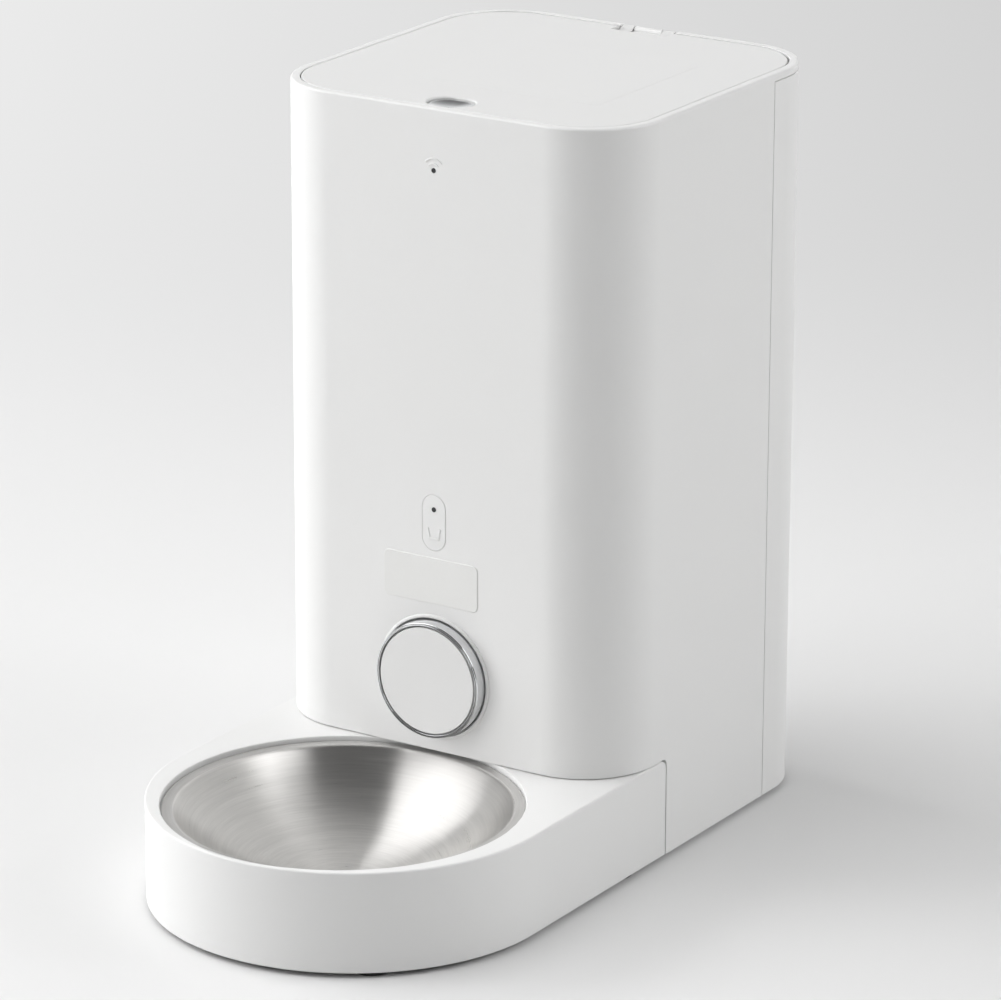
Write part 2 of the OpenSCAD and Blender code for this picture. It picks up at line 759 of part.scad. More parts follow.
// Plate and columns that hang the motor from the metering floor
module motor_bracket() {
  column_r = 3.5;
  half_w = gearbox_r + 2 * column_r + 4;
  plate_front = gearbox_r - 2;
  rows = [5 - plate_front, gearbox_r - 5];
  columns = [for (sx = [-1, 1]) for (dy = rows) [sx * (half_w - column_r - 0.5), motor_y + dy]];
  color(grey) difference() {
    union() {
      upright(bracket_z, bracket_z + bracket_t) {
        block(-half_w, motor_y - plate_front, half_w, motor_y + gearbox_r);
      }
      for (p = columns) translate([p[0], p[1], bracket_z]) {
        cylinder(r = column_r, h = meter_z - fit_gap - bracket_z);
      }
    }
    translate([0, motor_y, bracket_z - 1]) cylinder(r = boss_r + fit_gap, h = bracket_t + 2);
  }
}

// Small gearmotor that drives the outlet's rack
module door_motor() {
  foot_z = notch_z + base_t + fit_gap;
  color(steel) translate([door_x, door_y, 0]) difference() {
    union() {
      upright(door_box_top - door_box_h, door_box_top) square(door_box, center = true);
      translate([0, 0, foot_z]) cylinder(r = door_can_r, h = door_box_top - door_box_h / 2 - foot_z);
    }
    translate([0, 0, door_box_top - door_box_h / 2]) cylinder(r = door_shaft_r + pin_gap, h = door_box_h);
  }
}

// Control board behind the feed button
module control_board() {
  color(board_green) difference() {
    depthwise(board_y, board_y + board_t) translate([0, board_z]) square([board_w, board_h], center = true);
    for (p = board_holes) depthwise(board_y - 1, board_y + board_t + 1) translate(p) {
      circle(board_screw_r + fit_gap);
    }
  }
}

// Parts on the control board: the feed switch in front, the radio module, chip and connectors behind
module board_parts() {
  rear = board_y + board_t;
  switch_w = 6;
  radio = [18, 20];
  radio_t = 2.4;
  chip_w = 10;
  chip_t = 1.2;
  plug = [8, 5];
  plug_l = 5;
  plug_pitch = plug[0] + 5;
  can_r = 2.5;
  can_l = 6;
  color(dark) {
    depthwise(board_y - switch_h, board_y) translate([0, feed_z]) square(switch_w, center = true);
    depthwise(rear, rear + radio_t) translate([-board_w / 4, board_z + 8]) square(radio, center = true);
    depthwise(rear, rear + chip_t) translate([board_w / 5, board_z + 4]) square(chip_w, center = true);
    for (i = [-1:1]) depthwise(rear, rear + plug_l) {
      translate([i * plug_pitch, board_z - board_h / 2 + plug[1]]) square(plug, center = true);
    }
    depthwise(rear, rear + can_l) translate([board_w / 3, board_z + board_h / 3]) circle(can_r);
  }
}

// Clear pipe that shows the status light on the front
module status_light() {
  inner = wall + fit_gap;
  color(dark) {
    depthwise(0.1, inner) translate([0, status_z]) circle(light_r);
    depthwise(inner - fit_gap / 2, inner + light_flange_t) translate([0, status_z]) circle(light_r + 1);
  }
}

// Small board behind the status light
module status_board() {
  d0 = wall + 2 * fit_gap + light_flange_t;
  size = [14, 8];
  color(board_green) depthwise(d0, d0 + board_t / 2) translate([0, status_z]) square(size, center = true);
}

// Food level sensors outside the metering chamber's wall
module food_sensors() {
  color(dark) for (s = [-1, 1]) difference() {
    translate([s * chamber_out, rotor_y, sensor_z]) cube([2 * sensor_t, sensor_w, sensor_w], center = true);
    translate([0, rotor_y, sensor_z - sensor_w]) cylinder(r = chamber_out + pin_gap, h = 2 * sensor_w);
  }
}

// Three backup cells
module battery_cells() {
  y0 = bay_front_y + contact_t + contact_spring + 2 * fit_gap;
  color(brass) for (i = [-1:1]) translate([i * cell_pitch, y0, cell_z]) rotate([-90, 0, 0]) {
    cylinder(r = cell_r, h = cell_l);
    cylinder(r = cell_r / 4, h = cell_l + cell_nub);
  }
}

// Contact plates at both ends of the bay, with a stud for each cell at the front
module battery_contacts() {
  half_h = cell_r / 2;
  color(brass) {
    for (i = [-1:1]) translate([i * cell_pitch, bay_front_y + contact_t / 2, cell_z]) rotate([-90, 0, 0]) {
      cylinder(r1 = 6, r2 = 4, h = contact_t / 2 + contact_spring + fit_gap);
    }
    for (y = [bay_front_y + fit_gap / 2, bay_back_y - contact_t - fit_gap / 2]) {
      translate([-bay_half_w + 2, y, cell_z - half_h]) cube([2 * bay_half_w - 4, contact_t, 2 * half_h]);
    }
  }
}

// Door under the batteries, flush with the floor
module battery_door() {
  grip_w = 18;
  gap = run_gap;
  color(grey) difference() {
    upright(foot_h, foot_h + base_t) {
      block(-bay_half_w + gap, bay_front_y + gap, bay_half_w - gap, bay_back_y - gap);
    }
    upright(foot_h - 1, foot_h + base_t / 2) translate([0, bay_front_y + gap + 5]) oval(grip_w, 6);
  }
}

// Board that carries the power inlet
module power_board() {
  y1 = back_y - wall - fit_gap - 1;
  color(board_green) upright(power_board_z, power_board_z + board_t) {
    block(-power_board_half_w, y1 - power_board_l, power_board_half_w, y1);
  }
}

// Power inlet: a flat socket with its tongue, seen through the rear cover
module power_inlet() {
  nose_y = back_y - wall / 2;
  back_of = back_y - inlet_l;
  socket_depth = 7;
  tongue = [2 * socket_w / 3, nose_y - back_of - 4, 0.7];
  color(dark) {
    difference() {
      union() {
        translate([-inlet_w / 2, back_of, power_board_z + board_t]) {
          cube([inlet_w, inlet_l - wall - fit_gap, inlet_h]);
        }
        translate([0, nose_y, inlet_z]) rotate([90, 0, 0]) linear_extrude(nose_y - back_of) {
          oval(socket_w + 2, socket_hole_h + 2);
        }
      }
      translate([0, nose_y + 1, inlet_z]) rotate([90, 0, 0]) linear_extrude(socket_depth + 1) {
        oval(socket_w, socket_hole_h);
      }
    }
    translate([-tongue[0] / 2, back_of + 3, inlet_z - tongue[2] / 2]) cube(tongue);
  }
}

// Rubber feet under the housing
module housing_feet() {
  foot_x = body_w / 2 - wall - foot_r - foot_edge;
  color(rubber) for (s = [-1, 1]) for (dy = [-front_row, back_row]) {
    translate([s * foot_x, rotor_y + dy, 0]) cylinder(r = foot_r, h = foot_h);
  }
}

// Hinge block on the bin's flange, with the middle barrel of the hinge
module hinge_block() {
  color(white) difference() {
    sideways(-hinge_block_w / 2, hinge_block_w / 2) {
      translate([hinge_y, hinge_z]) circle(barrel_r);
      block(hinge_foot_y0, bin_top + fit_gap / 2, hinge_foot_y1, hinge_z);
    }
    sideways(-far / 2, far / 2) translate([hinge_y, hinge_z]) circle(hinge_pin_r + pin_gap);
    for (s = [-1, 1]) translate([s * hinge_block_w / 4, hinge_screw_y, bin_top - 1]) {
      cylinder(r = screw_r + pin_gap, h = 3);
    }
  }
}

// Hinge pin
module hinge_pin() {
  half = arm_x + arm_w;
  color(steel) sideways(-half, half) translate([hinge_y, hinge_z]) circle(hinge_pin_r);
}

// Flanged bush for the impeller's shaft
module shaft_bush() {
  color(brass) translate([0, rotor_y, 0]) difference() {
    union() {
      translate([0, 0, meter_z - bush_flange_t]) cylinder(r = bush_flange_r, h = bush_flange_t);
      translate([0, 0, meter_z - 1]) cylinder(r = bush_r, h = meter_t + 1);
    }
    translate([0, 0, meter_z - bush_flange_t - 1]) {
      cylinder(r = shaft_r + pin_gap, h = meter_t + bush_flange_t + 2);
    }
  }
}

// Screws that hold the metering base to its posts
module meter_screws() {
  color(steel) for (p = posts) translate([p[0], p[1], meter_top]) {
    screw(screw_r, screw_head_r, screw_head_t, screw_l);
  }
}

// Screws that hold the rear cover
module cover_screws() {
  color(steel) for (s = [-1, 1]) translate([s * cover_screw_x, back_y - wall / 2, cover_screw_z]) {
    rotate([-90, 0, 0]) screw(screw_r, screw_head_r, wall / 2 - 0.2, screw_l);
  }
}

// Screws that hold the control board
module board_screws() {
  head_t = 1.4;
  bite = 4;
  color(steel) for (p = board_holes) translate([p[0], front_y + board_y + board_t, p[1]]) {
    rotate([-90, 0, 0]) screw(board_screw_r, 2 * board_screw_r, head_t, board_t + bite);
  }
}

// Screws that hold the hinge block from under the bin's flange
module hinge_screws() {
  bite = 1.5;
  color(steel) for (s = [-1, 1]) translate([s * hinge_block_w / 4, hinge_screw_y, bin_top - bin_flange_t]) {
    rotate([180, 0, 0]) screw(screw_r, screw_head_r, screw_head_t, bin_flange_t + bite);
  }
}

// Lid: plate with a rounded edge, skirt, button pocket and the two arms of its hinge
module lid_cover() {
  border = 6;
  arm_sink = 1.4;
  arm_root = 2;
  color(white) difference() {
    union() {
      difference() {
        translate([0, lid_cy, 0]) {
          sweep(body_w - 2 * lid_in, lid_d, corner_r - lid_in) {
            edge_section(border, body_h - lid_t, body_h, lid_edge_r);
          }
          upright(body_h - lid_t, body_h) {
            rounded(body_w - 2 * lid_in - border, lid_d - border, corner_r - lid_in - border / 2);
          }
        }
        upright(body_h - lid_t - 1, body_h + 1) block(-hinge_notch_x, hinge_notch_y, hinge_notch_x, far);
      }
      upright(skirt_z, body_h - lid_t / 2) difference() {
        mouth_plan(skirt_gap);
        mouth_plan(skirt_gap + skirt_t);
      }
      upright(pocket_z, body_h - lid_t / 2) recess_plan(-pocket_wall);
      for (s = [0, 1]) mirror([s, 0, 0]) sideways(arm_x, arm_x + arm_w) {
        translate([hinge_y, hinge_z]) circle(barrel_r);
        block(hinge_notch_y - arm_root, hinge_z - barrel_r, hinge_y, body_h - arm_sink);
      }
    }
    upright(pocket_z + pocket_floor_t, body_h + 1) recess_plan(0);
    sideways(-latch_w / 2 - run_gap, latch_w / 2 + run_gap) {
      block(front_y, pocket_z + pocket_floor_t, button_y, latch_z + latch_t + 0.3);
    }
    sideways(-far / 2, far / 2) translate([hinge_y, hinge_z]) circle(hinge_pin_r + pin_gap);
  }
}

// Panel that closes the underside of the lid, with the desiccant cup's socket
module lid_liner() {
  color(white) {
    upright(liner_z, liner_z + liner_t) mouth_plan(skirt_gap + skirt_t + fit_gap);
    translate([0, cup_cy, liner_z - socket_h]) difference() {
      cylinder(r = socket_r + socket_t, h = socket_h + liner_t / 2);
      translate([0, 0, -1]) cylinder(r = socket_r, h = socket_h + 1);
    }
  }
}

// Soft seal around the lid's skirt
module lid_gasket() {
  color(grey) upright(gasket_z, gasket_z + gasket_h) difference() {
    mouth_plan(run_gap);
    mouth_plan(skirt_gap - pin_gap);
  }
}

// Bright button with a shallow dish, and the wedge under it that draws the latch back
module lid_button() {
  wedge_back_y = button_y + channel_z - wedge_z;
  color(steel) difference() {
    union() {
      difference() {
        upright(button_z, button_z + button_t) recess_plan(run_gap);
        sideways(-latch_w / 2 - 0.4, latch_w / 2 + 0.4) {
          block(button_y - far / 2, button_z - 1, button_y + far / 2, channel_z);
        }
      }
      sideways(-wedge_half_w, wedge_half_w) {
        polygon([[button_y - wedge_t, wedge_z], [button_y, wedge_z], [wedge_back_y, channel_z],
                 [wedge_back_y, channel_z + 0.5], [button_y - wedge_t, channel_z + 0.5]]);
      }
    }
    translate([0, button_y, button_z + button_t - dish_depth + dish_ball_r]) sphere(dish_ball_r);
  }
}

// Latch that slides under the lid and catches under the rim
module lid_latch() {
  slot_gap = 0.3;
  color(grey) difference() {
    sideways(-latch_w / 2, latch_w / 2) block(latch_tip_y, latch_z, latch_back_y, latch_z + latch_t);
    sideways(-wedge_half_w - slot_gap, wedge_half_w + slot_gap) {
      polygon([[button_y - wedge_t - button_travel - slot_gap, latch_z - 1],
               [button_y + slot_gap + latch_z - 1 - wedge_z, latch_z - 1],
               [button_y + slot_gap + latch_z + latch_t + 1 - wedge_z, latch_z + latch_t + 1],
               [button_y - wedge_t - button_travel - slot_gap, latch_z + latch_t + 1]]);
    }
  }
}

// Springs under the two ends of the button
module button_springs() {
  z0 = pocket_z + pocket_floor_t + pin_gap;
  z1 = button_z - pin_gap;
  color(steel) for (s = [-1, 1]) translate([s * spring_x, button_y, z0]) difference() {
    cylinder(r = spring_r, h = z1 - z0);
    translate([0, 0, -1]) cylinder(r = spring_hole_r, h = z1 - z0 + 2);
  }
}

// Twist-out desiccant cup with a slotted floor
module desiccant_cup() {
  slots = 8;
  slot_w = 2.4;
  z0 = liner_z - fit_gap - cup_h;
  color(white) translate([0, cup_cy, z0]) difference() {
    cylinder(r = cup_r, h = cup_h);
    translate([0, 0, cup_wall]) cylinder(r = cup_r - cup_wall, h = cup_h);
    for (i = [0:slots - 1]) rotate(i * 360 / slots) translate([cup_r * 0.3, -slot_w / 2, -1]) {
      cube([cup_r * 0.55, slot_w, cup_wall + 2]);
    }
  }
}

// Desiccant pack inside the cup
module desiccant_pack() {
  z0 = liner_z - fit_gap - cup_h + cup_wall + fit_gap;
  color(cream) translate([0, cup_cy, z0]) cylinder(r = cup_r - cup_wall - 1, h = cup_h - cup_wall - 2.5);
}

// Feed button with a flange behind the front wall and a post to its switch
module feed_button() {
  inner = wall + fit_gap;
  post_end = board_y - switch_h - feed_travel - fit_gap;
  color(white) difference() {
    union() {
      depthwise(-feed_proud, inner + feed_flange_t) translate([0, feed_z]) oval(feed_w, feed_h);
      depthwise(inner, inner + feed_flange_t) translate([0, feed_z]) {
        oval(feed_w + 2 * seam_gap + 2 * feed_flange, feed_h + 2 * seam_gap + 2 * feed_flange);
      }
      depthwise(inner, post_end) translate([0, feed_z]) circle(2);
    }
    depthwise(-1, inner + feed_flange_t + 1) translate([0, feed_z + feed_light_up]) circle(light_r + pin_gap);
  }
}

// Light in the feed button
module feed_light() {
  color(dark) depthwise(-feed_proud + 0.1, wall + feed_flange_t) {
    translate([0, feed_z + feed_light_up]) circle(light_r);
  }
}

// Impeller: a hub with straight blades
module impeller() {
  blade_end = chamber_r - run_gap - wiper_l;
  color(grey) translate([0, rotor_y, hub_z]) difference() {
    union() {
      cylinder(r = hub_r, h = blade_h);
      for (i = [0:blades - 1]) rotate(i * 360 / blades) translate([0, -blade_t / 2, 0.3]) {
        cube([blade_end, blade_t, blade_h - 0.6]);
      }
    }
    translate([0, 0, -1]) cylinder(r = shaft_r + pin_gap, h = blade_h - 3);
  }
}

// Soft tips on the blades
module impeller_wipers() {
  r0 = chamber_r - run_gap - wiper_l + pin_gap;
  color(dark) translate([0, rotor_y, hub_z]) for (i = [0:blades - 1]) rotate(i * 360 / blades) {
    translate([r0, -blade_t / 2, 0.3]) cube([wiper_l - run_gap, blade_t, blade_h - 0.6]);
  }
}

// Stirrer on top of the hub, with two slanted arms
module agitator() {
  cap_r = hub_r - 2;
  cap_h = 8;
  arm_r = 2;
  arm_l = 36;
  arm_tilt = 62;
  color(grey) translate([0, rotor_y, hub_top + pin_gap]) {
    cylinder(r = cap_r, h = cap_h);
    for (a = [45, 225]) rotate(a) translate([0, 0, cap_h - arm_r]) rotate([0, arm_tilt, 0]) {
      cylinder(r = arm_r, h = arm_l);
    }
  }
}

// Shaft of the impeller
module impeller_shaft() {
  z0 = drive_z - clip_t - 3 * fit_gap - 1;
  color(steel) translate([0, rotor_y, z0]) cylinder(r = shaft_r, h = hub_z + blade_h - 5 - z0);
}

// Drive gear under the metering floor
module drive_gear() {
  color(grey) translate([0, rotor_y, drive_z]) linear_extrude(gear_face) rotate(90) difference() {
    polygon(gear_outline(drive_teeth));
    circle(shaft_r + pin_gap);
  }
}

// Clip that keeps the drive gear on its shaft
module shaft_clip() {
  color(steel) translate([0, rotor_y, drive_z - clip_t - fit_gap]) difference() {
    cylinder(r = shaft_r + 2.5, h = clip_t);
    translate([0, 0, -1]) cylinder(r = shaft_r + pin_gap, h = clip_t + 2);
  }
}

// Motor pinion with its shaft
module motor_pinion() {
  shaft_z = gearbox_top - gearbox_l / 2 + 1;
  color(brass) translate([0, motor_y, 0]) {
    translate([0, 0, drive_z]) linear_extrude(gear_face) {
      rotate(-90 + 180 / pinion_teeth) polygon(gear_outline(pinion_teeth));
    }
    translate([0, 0, shaft_z]) cylinder(r = motor_shaft_r, h = drive_z + gear_face / 2 - shaft_z);
  }
}

// Sliding tube of the outlet, open below where it comes out
module outlet_tube() {
  front = -outlet_proud + cap_t + pin_gap;
  slot_front = -bezel_h + 0.4;
  slot_back = slot_front + outlet_travel - 2;
  slot_half_w = tube_r * 0.7;
  color(white) difference() {
    depthwise(front, tube_back_y - front_y) translate([0, outlet_z]) difference() {
      circle(tube_r);
      circle(tube_bore_r);
    }
    depthwise(slot_front, slot_back) {
      block(-slot_half_w, outlet_z - 2 * tube_r, slot_half_w, outlet_z - tube_r / 2);
    }
  }
}

// Bright trim ring at the front of the outlet's tube
module outlet_ring() {
  back = -outlet_proud + outlet_ring_l;
  color(steel) translate([0, front_y, outlet_z]) rotate([90, 0, 0]) rotate_extrude() {
    translate([outlet_r, 0]) edge_section(outlet_ring_t, -back, outlet_proud - bead_r / 2, 2 * bead_r);
    translate([outlet_r - outlet_ring_t + bead_r, outlet_proud - bead_r]) circle(bead_r);
  }
}

// Round white cap of the outlet
module outlet_cap() {
  color(white) translate([0, front_y - outlet_proud + cap_t, outlet_z]) rotate([90, 0, 0]) rotate_extrude() {
    block(0, 0, tube_r - 0.4, cap_t - bead_r);
    block(0, 0, tube_r - 0.4 - bead_r, cap_t);
    translate([tube_r - 0.4 - bead_r, cap_t - bead_r]) circle(bead_r);
  }
}

// Rack along the outlet's tube, with the lug that joins them
module outlet_rack() {
  pitch = PI * gear_mod;
  y0 = tube_back_y - rack_lug;
  root_x = rack_x + rack_back_t;
  tooth_h = dedendum + addendum;
  half_root = pitch / 4 + dedendum * tan(pressure) - backlash;
  half_tip = pitch / 4 - addendum * tan(pressure) - backlash;
  first = ceil((tube_back_y - door_y) / pitch + 0.5);
  last = floor((y0 + rack_l - door_y) / pitch - 0.5);
  color(grey) upright(outlet_z - rack_w / 2, outlet_z + rack_w / 2) {
    block(rack_x, y0, root_x, y0 + rack_l);
    difference() {
      block(0, y0, rack_x + 0.5, tube_back_y);
      block(-1, y0 - 1, tube_r + pin_gap, tube_back_y + 1);
    }
    for (i = [first:last]) translate([root_x, door_y + (i - 0.5) * pitch]) {
      polygon([[-0.1, -half_root], [0, -half_root], [tooth_h, -half_tip], [tooth_h, half_tip],
               [0, half_root], [-0.1, half_root]]);
    }
  }
}

// Pinion that drives the rack, with its shaft
module door_pinion() {
  shaft_z = door_box_top - door_box_h / 2 + 0.5;
  color(brass) translate([door_x, door_y, 0]) {
    upright(outlet_z - rack_w / 2, outlet_z + rack_w / 2) rotate(180) polygon(gear_outline(pinion_teeth));
    translate([0, 0, shaft_z]) cylinder(r = door_shaft_r, h = outlet_z - shaft_z);
  }
}

// Tray with the well that the bowl hangs in
module bowl_tray() {
  section_z = foot_h;
  color(white) difference() {
    union() {
      translate([0, tray_arc_y, 0]) rotate(180) rotate_extrude(angle = 180) translate([tray_r, 0]) {
        edge_section(tray_wall, section_z, tray_h, tray_edge_r);
      }
      for (s = [0, 1]) mirror([s, 0, 0]) translate([tray_r, tray_back_y, 0]) rotate([90, 0, 0]) {
        linear_extrude(tray_back_y - tray_arc_y) edge_section(tray_wall, section_z, tray_h, tray_edge_r);
      }
      upright(tray_h - tray_deck, tray_h) tray_plan(tray_wall / 2);
      upright(section_z, tray_h) {
        block(-tray_r + tray_wall / 2, tray_back_y - tray_wall, tray_r - tray_wall / 2, tray_back_y);
      }
      intersection() {
        upright(seat_z - seat_t, tray_h - tray_deck / 2) translate([0, bowl_y]) circle(bowl_hole_r + well_t);
        upright(section_z, tray_h) tray_plan(tray_wall / 2);
      }
      for (s = [-1, 1]) sideways(s * catch_x - catch_w / 2, s * catch_x + catch_w / 2) {
        block(tray_back_y - tray_wall / 2, catch_z, tray_back_y + catch_l, catch_z + catch_t);
      }
      for (p = tray_posts) upright(foot_h + tray_base_t + fit_gap, tray_h - tray_deck / 2) {
        translate(p) circle(tray_post_r);
      }
    }
    upright(seat_z, tray_h + 1) translate([0, bowl_y]) circle(bowl_hole_r);
    upright(seat_z - seat_t - 1, tray_h) translate([0, bowl_y]) {
      circle(bowl_mouth_r + bowl_sheet + 2 * run_gap);
    }
    for (p = tray_posts) translate([p[0], p[1], foot_h]) {
      cylinder(r = screw_r + pin_gap, h = screw_l + tray_base_t);
    }
    sideways(-far / 2, far / 2) difference() {
      block(tray_back_y - tray_back_r, tray_h - tray_back_r, tray_back_y + 1, tray_h + 1);
      translate([tray_back_y - tray_back_r, tray_h - tray_back_r]) circle(tray_back_r);
    }
  }
}

// Bottom plate of the tray
module tray_base() {
  color(dark) difference() {
    upright(foot_h, foot_h + tray_base_t) tray_plan(tray_wall + fit_gap);
    for (p = tray_posts) translate([p[0], p[1], foot_h - 1]) {
      cylinder(r = screw_r + fit_gap, h = tray_base_t + 2);
      cylinder(r = screw_head_r + fit_gap, h = 1 + tray_base_t / 2);
    }
  }
}

// Rubber feet under the tray
module tray_feet() {
  front_x = tray_foot_ring * sin(tray_foot_angle);
  front_foot_y = tray_arc_y - tray_foot_ring * cos(tray_foot_angle);
  rear_foot_y = tray_back_y - 2 * foot_r - 6;
  color(rubber) for (s = [-1, 1]) {
    translate([s * front_x, front_foot_y, 0]) cylinder(r = foot_r, h = foot_h);
    translate([s * tray_foot_ring, rear_foot_y, 0]) cylinder(r = foot_r, h = foot_h);
  }
}

// Screws that hold the tray's bottom plate
module tray_screws() {
  color(steel) for (p = tray_posts) translate([p[0], p[1], foot_h + tray_base_t / 2]) rotate([180, 0, 0]) {
    screw(screw_r, screw_head_r, tray_base_t / 2 - 0.2, screw_l);
  }
}

// Stainless bowl: a ball-shaped dish with a flat flange
module bowl() {
  color(steel) translate([0, bowl_y, 0]) rotate_extrude() {
    intersection() {
      translate([0, bowl_ball_z]) difference() {
        circle(bowl_ball_r + bowl_sheet);
        circle(bowl_ball_r);
      }
      block(0, 0, bowl_hole_r, flange_z);
    }
    block(bowl_mouth_r, flange_z - bowl_sheet, flange_r, flange_z);
  }
}

front_shell();
rear_cover();
base_frame();
food_bin();
metering_base();
drop_shield();
chute();
outlet_bezel();
gear_motor();
motor_bracket();
door_motor();
control_board();
board_parts();
status_light();
status_board();
food_sensors();
battery_cells();
battery_contacts();
battery_door();
power_board();
power_inlet();
housing_feet();
hinge_block();
hinge_pin();
shaft_bush();
meter_screws();
cover_screws();
board_screws();
hinge_screws();
lid_cover();
lid_liner();
lid_gasket();
lid_button();
lid_latch();
button_springs();
desiccant_cup();
desiccant_pack();
feed_button();
feed_light();
impeller();
impeller_wipers();
agitator();
impeller_shaft();
drive_gear();
shaft_clip();
motor_pinion();
outlet_tube();
outlet_ring();
outlet_cap();
outlet_rack();
door_pinion();
bowl_tray();
tray_base();
tray_feet();
tray_screws();
bowl();
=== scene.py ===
"""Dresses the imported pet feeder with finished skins, materials, a studio floor, lamps and a camera."""

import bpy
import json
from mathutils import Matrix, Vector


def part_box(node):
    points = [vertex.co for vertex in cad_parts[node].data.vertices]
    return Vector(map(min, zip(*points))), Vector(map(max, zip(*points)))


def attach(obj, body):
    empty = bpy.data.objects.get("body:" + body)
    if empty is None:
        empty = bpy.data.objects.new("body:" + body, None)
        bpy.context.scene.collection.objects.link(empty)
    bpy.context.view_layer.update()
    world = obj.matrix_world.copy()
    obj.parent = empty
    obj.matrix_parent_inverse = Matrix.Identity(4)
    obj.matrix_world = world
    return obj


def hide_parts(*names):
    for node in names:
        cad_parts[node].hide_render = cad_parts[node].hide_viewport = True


bl_info = {
    "name": "Pet feeder dressing",
    "version": (1, 0, 0),
    "blender": (4, 5, 0),
    "location": "View3D > Sidebar > Feeder",
    "description": "Builds the visible skins, the finishes and the studio of an automatic pet feeder",
    "category": "Object",
}

import json
import math

import bmesh
import bpy
import numpy as np
from bpy.props import FloatProperty, FloatVectorProperty, PointerProperty
from mathutils import Matrix, Vector

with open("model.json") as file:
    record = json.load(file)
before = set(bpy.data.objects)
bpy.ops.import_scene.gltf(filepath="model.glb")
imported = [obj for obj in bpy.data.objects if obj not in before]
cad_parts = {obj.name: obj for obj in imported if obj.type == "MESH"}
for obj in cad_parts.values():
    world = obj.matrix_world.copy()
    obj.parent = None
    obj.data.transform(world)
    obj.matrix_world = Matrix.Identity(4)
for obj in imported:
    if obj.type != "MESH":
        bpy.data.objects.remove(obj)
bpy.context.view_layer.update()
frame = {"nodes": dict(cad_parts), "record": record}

MM = 0.001
# A reach that is clear of the whole feeder, and one that is clear of a wall
FAR = 0.4
NEAR = 0.01
# Radius of the holes for the two small lights
LAMP_HOLE = 1.05 * MM
# Depth to which raised marks reach into the face
SUNK = 0.05 * MM
# Distance from the rear edge of the tray's base plate to the back of the tray
PLATE_INSET = 2.7 * MM
# Line of sight in degrees, place in metres, lens and sensor in millimetres
CAMERA_YAW = 32.6402
CAMERA_PITCH = 18.2341
CAMERA_ROLL = 0.14368
CAMERA_PLACE = (1.1280252, -1.7241822, 0.8259066)
CAMERA_LENS = 194.684
SENSOR_WIDTH = 36


def middle(node, axis):
    """Middle of a node's box along an axis, which is given by its number."""
    low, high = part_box(node)
    return (low[axis] + high[axis]) / 2


SHELL_LOW, SHELL_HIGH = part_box("front_shell")
TRAY_LOW, TRAY_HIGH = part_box("bowl_tray")
BOWL_LOW, BOWL_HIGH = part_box("bowl")
RING_LOW, RING_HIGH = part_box("outlet_ring")
FEED_LOW, FEED_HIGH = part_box("feed_button")
LID_LOW, LID_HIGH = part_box("lid_cover")
BUTTON_LOW, BUTTON_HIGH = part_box("lid_button")
BLOCK_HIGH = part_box("hinge_block")[1]
FRONT, BACK = SHELL_LOW[1], SHELL_HIGH[1]
BASE, TOP = SHELL_LOW[2], SHELL_HIGH[2]
TRAY_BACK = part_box("tray_base")[1][1] + PLATE_INSET
OUTLET = (0, FRONT, middle("outlet_ring", 2))
FEED_Z = middle("feed_button", 2)
STATUS_Z = middle("status_light", 2)
BUTTON_Y = middle("lid_button", 1)
BOWL_MIDDLE = (0, middle("bowl", 1), 0)


def length(label, words, size):
    """A length given in millimetres, which the panel shows in the scene's units."""
    return FloatProperty(name=label, description=words, default=size * MM, unit="LENGTH", precision=5)


def tint(label, words, colour):
    """A linear colour that the panel shows as a swatch."""
    return FloatVectorProperty(name=label, description=words, default=colour, subtype="COLOR",
                               size=3, min=0, max=1)


def power(label, words, watts):
    """The power of a lamp."""
    return FloatProperty(name=label, description=words, default=watts, unit="POWER")


class HousingSizes(bpy.types.PropertyGroup):
    """Sizes of the tall housing's two shells."""

    corner: length("Corner radius", "Radius of the upright corners", 33)
    wall: length("Wall", "Thickness of the shells", 2.5)
    rim_width: length("Rim width", "Width of the rim around the lid", 3.8)
    rim_height: length("Rim height", "Height of the rim", 3)
    rim_round: length("Rim rounding", "Rounding of the rim's outer edge", 1)
    cover_depth: length("Rear cover depth", "Distance from the back face to the seam", 43.5)
    seam: length("Seam", "Gap at the seams that show", 0.28)
    notch_depth: length("Notch depth", "How far the tray's notch runs behind the front face", 43.8)
    notch_height: length("Notch height", "Height of the notch above the floor", 43.82)
    notch_round: length("Notch rounding", "Rounding of the notch's upper rear edge", 3)
    hinge_half: length("Hinge notch", "Half of the width of the hinge's notch", 13.2)
    softness: length("Edge softness", "Width of the small bevel on cut edges", 0.22)


class LidSizes(bpy.types.PropertyGroup):
    """Sizes of the lid and of its button."""

    plate: length("Plate", "Thickness of the lid's plate", 3)
    edge: length("Edge rounding", "Rounding of the lid's top edge", 0.6)
    back_gap: length("Back gap", "Gap between the lid's rear edge and the rim", 1.2)
    recess_w: length("Recess width", "Width of the button's recess", 20)
    recess_d: length("Recess depth", "Size of the recess from front to back", 15.5)
    lip: length("Recess lip", "Reach of the rounded lip around the recess", 0.8)
    hinge_notch: length("Hinge notch", "Depth of the hinge's notch into the lid", 6.8)
    film: length("Film", "Thickness of the blank film on the lid", 0.06)
    dish: length("Dish", "Depth of the dish in the button", 0.9)
    button_rise: length("Button rise", "Added height of the button's shell over its core", 1.5)
    softness: length("Edge softness", "Width of the small bevel on cut edges", 0.15)


